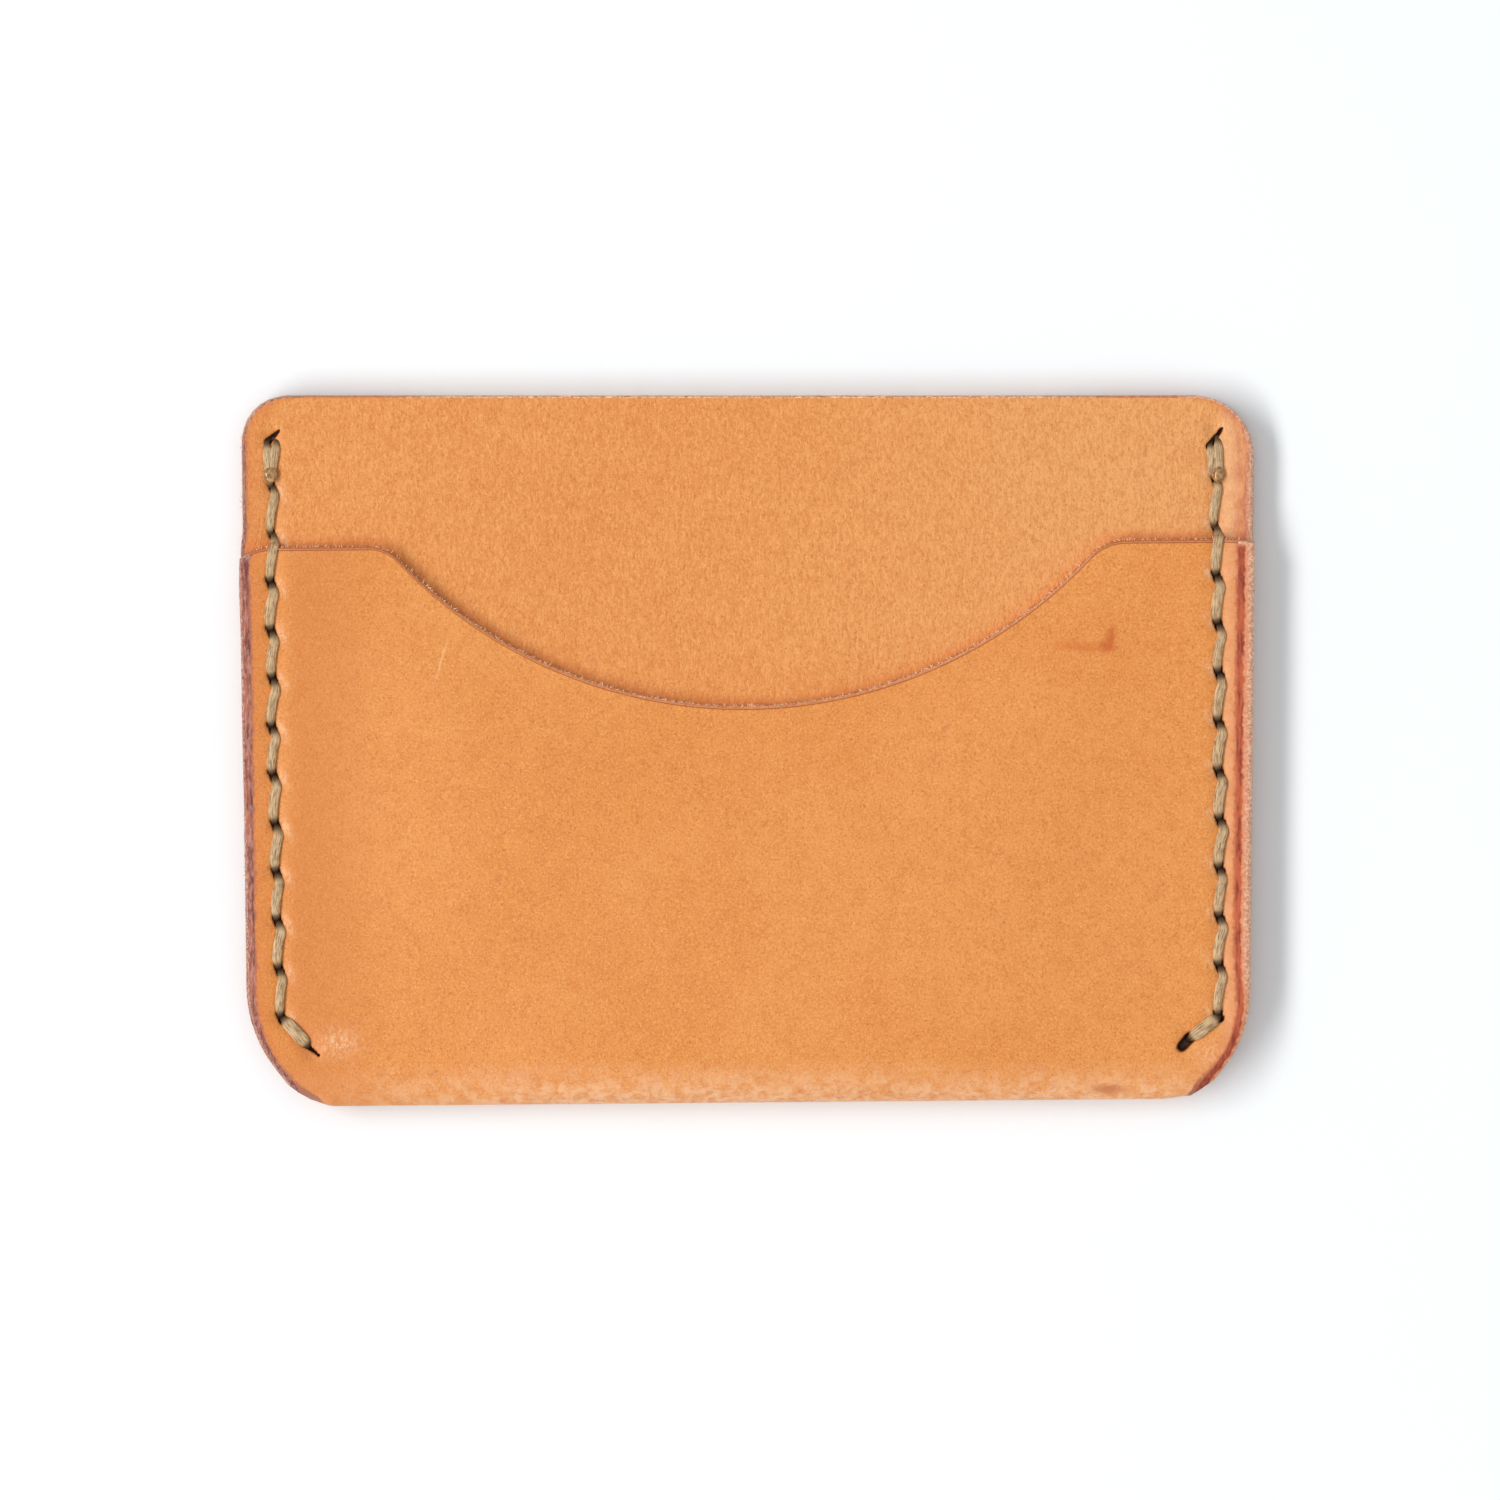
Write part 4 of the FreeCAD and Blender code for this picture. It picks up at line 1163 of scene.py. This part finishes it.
def edge_colours(nodes, specks, waves, burnished):
    """Colour of the cut edges: burnished near the grain side, raw further out and at the mouths."""
    cut = nodes.mark("cut")
    raw = raw_edges(nodes, specks)
    near_corner = nodes.times(nodes.ease(nodes.up, -31.0, -22.0, 0.25, 0.0), nodes.by_side())
    reach = nodes.math("ADD", nodes.by_side(0.84, 0.43), near_corner)
    inside = nodes.math("SUBTRACT", reach, nodes.uneven(cut, waves, 0.5))
    burnished = nodes.times(burnished, nodes.ease(nodes.mark("mouth_gap"), 0.1, 0.7))
    near_band = nodes.times(nodes.ease(inside, -0.4, -0.02, 0.0, 0.85), burnished)
    raw_side = nodes.mix(nodes.by_side(), raw["left"], nodes.mix(near_band, raw["right"], RAW_REDDENED))
    shown = nodes.times(nodes.ease(inside, -0.07, 0.07), burnished)
    side = nodes.mix(shown, raw_side, burnished_edges(nodes))
    is_side = nodes.ease(nodes.mark("side_gap"), 0.5, 2.0, 1.0, 0.0)
    edge = nodes.mix(is_side, raw["mouth"], side)
    return nodes.mix(nodes.ease(cut, 1.1, 1.4), edge, LOOSE_FIBRE)


def rim_wear_and_highlights(nodes, colour, waves, burnished):
    """Adds what the stitching, the burnishing and the hands did to the grain along the sides, with painted
    highlights beside the holes and right of the right seam.
    """
    # painted highlight: pale pink streaks beside the holes and a patchy pale band right of the right seam,
    # where the grain rises towards the lamp; partly the stretched grain itself
    wrinkles = nodes.noise(0.32, 4.0, 0.65, nodes.stretch((1.0, 0.55, 1.0)), 0.6)
    stretch_and_highlight = nodes.times(nodes.mark("strain_and_highlight"), nodes.ease(wrinkles, 0.42, 0.6, 0.12, 0.9))
    patchy = nodes.ease(nodes.noise(0.7, 5.0, 0.7, twist=0.6), 0.3, 0.7, 0.25, 0.8)
    right_rim = nodes.ease(nodes.across, 46.8, 48.6)
    wear_and_highlight = nodes.math("MAXIMUM", stretch_and_highlight, nodes.times(right_rim, patchy))
    colour = nodes.mix(wear_and_highlight, colour, STRAIN_HIGHLIGHT_PINK)

    side = nodes.mark("side_gap")
    wavy = nodes.uneven(side, waves, 1.1)
    above_fold = nodes.ease(nodes.up, FOLD_Y + 0.5, FOLD_Y + 5.5)
    colour = nodes.mix(nodes.times(nodes.ease(wavy, 0.0, 2.0, 0.44, 0.0), above_fold), colour, BURNISH_FADE)
    blotches = nodes.noise(0.9, 4.0, 0.65, nodes.stretch((1.0, 0.6, 1.0)), 0.5)
    blotched = nodes.times(nodes.ease(side, 0.0, 1.9, 0.6, 0.0), nodes.ease(blotches, 0.4, 0.58),
                           nodes.ease(nodes.up, SHOULDER - 1.0, SHOULDER + 1.0), right_rim)
    colour = nodes.mix(blotched, colour, BURNISH_BLOTCH)
    rubbed = nodes.times(nodes.ease(wavy, -0.1, 0.3, 0.85, 0.0), burnished, above_fold)
    colour = nodes.mix(rubbed, colour, nodes.mix(nodes.by_side(), BURNISH["left"], BURNISH_SOFT))

    # the dark line round the fold's ends, where the outline slopes and side_gap grows faster
    slope = nodes.times(nodes.ease(nodes.up, FOLD_Y, FOLD_Y + 2.0, 1.0, 0.0), nodes.by_side(1.2, 0.1))
    line = nodes.times(nodes.ease(nodes.math("SUBTRACT", wavy, slope), 0.2, 0.5, 0.85, 0.0),
                       nodes.math("SUBTRACT", 1.0, above_fold), burnished)
    return nodes.mix(line, colour, nodes.mix(nodes.by_side(), BURNISH["left"], BURNISH_DARK["right"]))


def cut_edges(nodes, colour, burnished):
    """Adds the worn and highlighted rims, the cut edges, the flesh side and the slits to a grain colour;
    the slits' dark is partly dye and wax and partly painted shade.
    """
    specks = nodes.noise(0.3, 4.0, 0.7)
    waves = nodes.noise(0.8, 5.0, 0.65)
    colour = rim_wear_and_highlights(nodes, colour, waves, burnished)
    mouth = nodes.mark("mouth_gap")
    from_crease = nodes.math("ABSOLUTE", nodes.math("SUBTRACT", mouth, MOUTH_CREASE))
    colour = nodes.mix(nodes.ease(from_crease, 0.0, 0.1, 0.9, 0.0), colour, CREASE_BROWN)
    colour = nodes.mix(nodes.ease(mouth, 0.0, 0.12, 0.7, 0.0), colour, LIP_BROWN)
    rim = edge_colours(nodes, specks, waves, burnished)
    colour = nodes.mix(nodes.ease(nodes.mark("cut"), 0.0, 0.1), colour, rim)
    colour = nodes.mix(nodes.mark("flesh"), colour, nodes.mix(specks, FLESH, FLESH_SHADE))
    # painted shade: the slits darken to brown, then nearly black, the deeper they go; partly the dark dye
    # and wax in them, partly the shade inside the holes
    pit = nodes.mark("pit")
    colour = nodes.mix(nodes.ease(pit, 0.02, 0.3), colour, SLIT_DYE_AND_SHADE_BROWN)
    return nodes.mix(nodes.ease(pit, 0.25, 0.7), colour, SLIT_DYE_AND_SHADE_BLACK)


def leather(nodes, colour, creases, depths, grain_size, rough):
    """Finishes a leather: creases and grain of the given depths, a dull sheen, duller cut edges."""
    normal = nodes.bump(creases, depths[0])
    normal = nodes.bump(nodes.noise(grain_size, 4.0, 0.65), depths[1], normal)
    roughness = nodes.ease(nodes.noise(2.5, 4.0), 0.3, 0.7, rough, rough + 0.14)
    shine = nodes.ease(nodes.mark("cut"), 0.0, 0.2, 0.4, 0.08)
    return nodes.finish(colour, roughness, normal, shine)


def wrap_material():
    nodes = Nodes("wrap_leather_look")
    colour = tanned(nodes)
    near_fold = nodes.times(nodes.ease(nodes.up, FOLD_Y, FOLD_Y + 5.0, 0.9, 0.0),
                            nodes.ease(nodes.across, -44.0, -15.0, 0.35, 1.0))
    rubbed = nodes.ease(nodes.noise(1.4, 5.0, 0.65, twist=0.5), 0.38, 0.62, 0.25, 1.0)
    colour = nodes.mix(nodes.times(near_fold, rubbed), colour, FOLD_PINK)
    flecks = nodes.noise(0.55, 5.0, 0.7, nodes.stretch((0.6, 1.4, 1.0)), 0.5)
    colour = nodes.mix(nodes.times(near_fold, nodes.ease(flecks, 0.5, 0.66, 0.0, 0.75)), colour, FOLD_FLECK)
    handled = nodes.times(nodes.ease(nodes.across, -47.5, -44.5),
                          nodes.ease(nodes.across, -44.5, -34.0, 0.45, 0.0))
    colour = nodes.mix(handled, colour, HANDLED)
    for ovals, strength, mark_colour in WEAR:
        wear_and_highlight = nodes.spot(*ovals[0])
        for oval in ovals[1:]:
            wear_and_highlight = nodes.math("MAXIMUM", wear_and_highlight, nodes.spot(*oval))
        colour = nodes.mix(nodes.times(wear_and_highlight, strength), colour, mark_colour)
    colour = cut_edges(nodes, colour, nodes.ease(nodes.mark("front"), 0.2, 0.45))
    return leather(nodes, colour, nodes.noise(1.1, 5.0, 0.6, twist=0.6), (0.07, 0.05), 0.28, 0.42)


def divider_material():
    nodes = Nodes("divider_leather_look")
    colour = tanned(nodes, nodes.ease(nodes.across, -10.0, 45.0, 0.15, 0.75))
    # painted shadow: the divider turns a warmer orange for 1.3 mm above the front leaf's edge, standing in
    # for the reddish shade and bounce light there
    painted_shadow = nodes.ease(nodes.mark("mouth_gap"), OVER_MOUTH, OVER_MOUTH + 1.3, 0.5, 0.0)
    colour = nodes.mix(painted_shadow, colour, PAINTED_SHADOW_TAN)
    streaks = nodes.noise(0.3, 3.0, 0.55, nodes.stretch((1.0, 0.45, 1.0)), 0.5)
    colour = nodes.mix(nodes.ease(streaks, 0.42, 0.68, 0.0, 0.42), colour, DEEP_TAN)
    colour = nodes.mix(nodes.ease(streaks, 0.3, 0.46, 0.35, 0.0), colour, PALE_SPECK)
    burnished = nodes.times(nodes.by_side(0.7, 0.3), nodes.ease(nodes.up, TOP - 4.5, TOP - 2.0, 1.0, 0.15))
    colour = cut_edges(nodes, colour, burnished)
    return leather(nodes, colour, streaks, (0.08, 0.055), 0.26, 0.44)


def thread_material():
    nodes = Nodes("waxed_thread_look")
    lay = nodes.node("ShaderNodeCombineXYZ", X=nodes.times(nodes.mark("round"), 9.0),
                     Y=nodes.times(nodes.mark("along"), 0.8)).outputs[0]
    fibres = nodes.noise(1.0, 3.0, 0.6, lay, 0.4)
    wax = nodes.noise(0.5, 3.0)
    colour = nodes.mix(nodes.ease(fibres, 0.34, 0.62), THREAD_SHADE, THREAD_KHAKI)
    colour = nodes.mix(nodes.ease(wax, 0.45, 0.75, 0.0, 0.4), colour, THREAD_WAX)
    # painted shade: the thread darkens towards the holes it sinks into, partly wax and partly the shade
    # inside them
    sunk = nodes.uneven(nodes.mark("sunk"), fibres, 0.5)
    colour = nodes.mix(nodes.ease(sunk, 0.15, 0.6), colour, THREAD_WAX_AND_SHADE_BROWN)
    colour = nodes.mix(nodes.ease(sunk, 0.45, 0.95), colour, THREAD_WAX_AND_SHADE_BLACK)
    melted = nodes.mark("melted")
    amber = nodes.mix(nodes.ease(nodes.noise(0.35, 3.0), 0.35, 0.65), AMBER_SHADE, AMBER)
    colour = nodes.mix(melted, colour, amber)
    rough = nodes.ease(melted, 0.0, 1.0, 0.55, 0.15)
    height = nodes.mix(melted, fibres, (0.5, 0.5, 0.5, 1.0))
    return nodes.finish(colour, rough, nodes.bump(height, 0.06), nodes.ease(melted, 0.0, 1.0, 0.35, 1.0))


# ---------------------------------------------------------------- the object


def dress(piece, material, node):
    piece.data.materials.append(material)
    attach(piece, "root")
    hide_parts(node)


dress(make_wrap(), wrap_material(), "outer_wrap")
dress(make_divider(), divider_material(), "divider")
thread_look = thread_material()
for seam_side in SEAMS:
    dress(make_thread(seam_side), thread_look, f"{seam_side}_seam_thread")


# ---------------------------------------------------------------- stage, light and camera


# Sizes and places here are in metres, the light's power in watts.
FLOOR_SIDE = 1.6
FLOOR_COLOURS = ((0.892, 0.9, 0.915, 1.0), (0.912, 0.92, 0.935, 1.0))
KEY_PLACE, KEY_SIZE, KEY_POWER = (-1.46, -0.2, 1.6), (2.5, 0.5), 39.6
KEY_COLOUR = (1.0, 0.99, 0.97)
WORLD_COLOUR, WORLD_STRENGTH = (0.975, 1.037, 1.065, 1.0), 0.62
VIEW_WIDTH = 0.1509       # across the picture
VIEW_PLACE = (0.00035, 0.00003, 1.5)


def make_floor():
    half = FLOOR_SIDE / 2
    mesh = bpy.data.meshes.new("floor")
    corners = [(-half, -half, 0.0), (half, -half, 0.0), (half, half, 0.0), (-half, half, 0.0)]
    mesh.from_pydata(corners, [], [(0, 1, 2, 3)])
    nodes = Nodes("floor_look")
    nodes.set(nodes.shader.inputs["Base Color"], nodes.mix(nodes.noise(60.0, 2.0), *FLOOR_COLOURS))
    nodes.set(nodes.shader.inputs["Roughness"], 0.9)
    nodes.set(nodes.shader.inputs["Specular IOR Level"], 0.0)
    mesh.materials.append(nodes.material)
    add_object("floor", mesh)


def make_light():
    """A soft box that faces the middle of the holder."""
    data = bpy.data.lights.new("key", "AREA")
    data.shape = "RECTANGLE"
    data.size, data.size_y = KEY_SIZE
    data.energy = KEY_POWER
    data.color = KEY_COLOUR
    light = add_object("key", data)
    light.location = KEY_PLACE
    towards = -light.location
    light.rotation_euler = towards.to_track_quat("-Z", "Y").to_euler()


def make_world():
    world = bpy.data.worlds.new("studio")
    world.use_nodes = True
    background = world.node_tree.nodes["Background"]
    background.inputs["Color"].default_value = WORLD_COLOUR
    background.inputs["Strength"].default_value = WORLD_STRENGTH
    bpy.context.scene.world = world


def make_camera():
    """A long lens that looks straight down."""
    data = bpy.data.cameras.new("camera")
    data.lens = data.sensor_width * VIEW_PLACE[2] / VIEW_WIDTH
    camera = add_object("camera", data)
    camera.location = VIEW_PLACE
    bpy.context.scene.camera = camera


make_floor()
make_light()
make_world()
make_camera()
bpy.context.scene.view_settings.view_transform = "Standard"
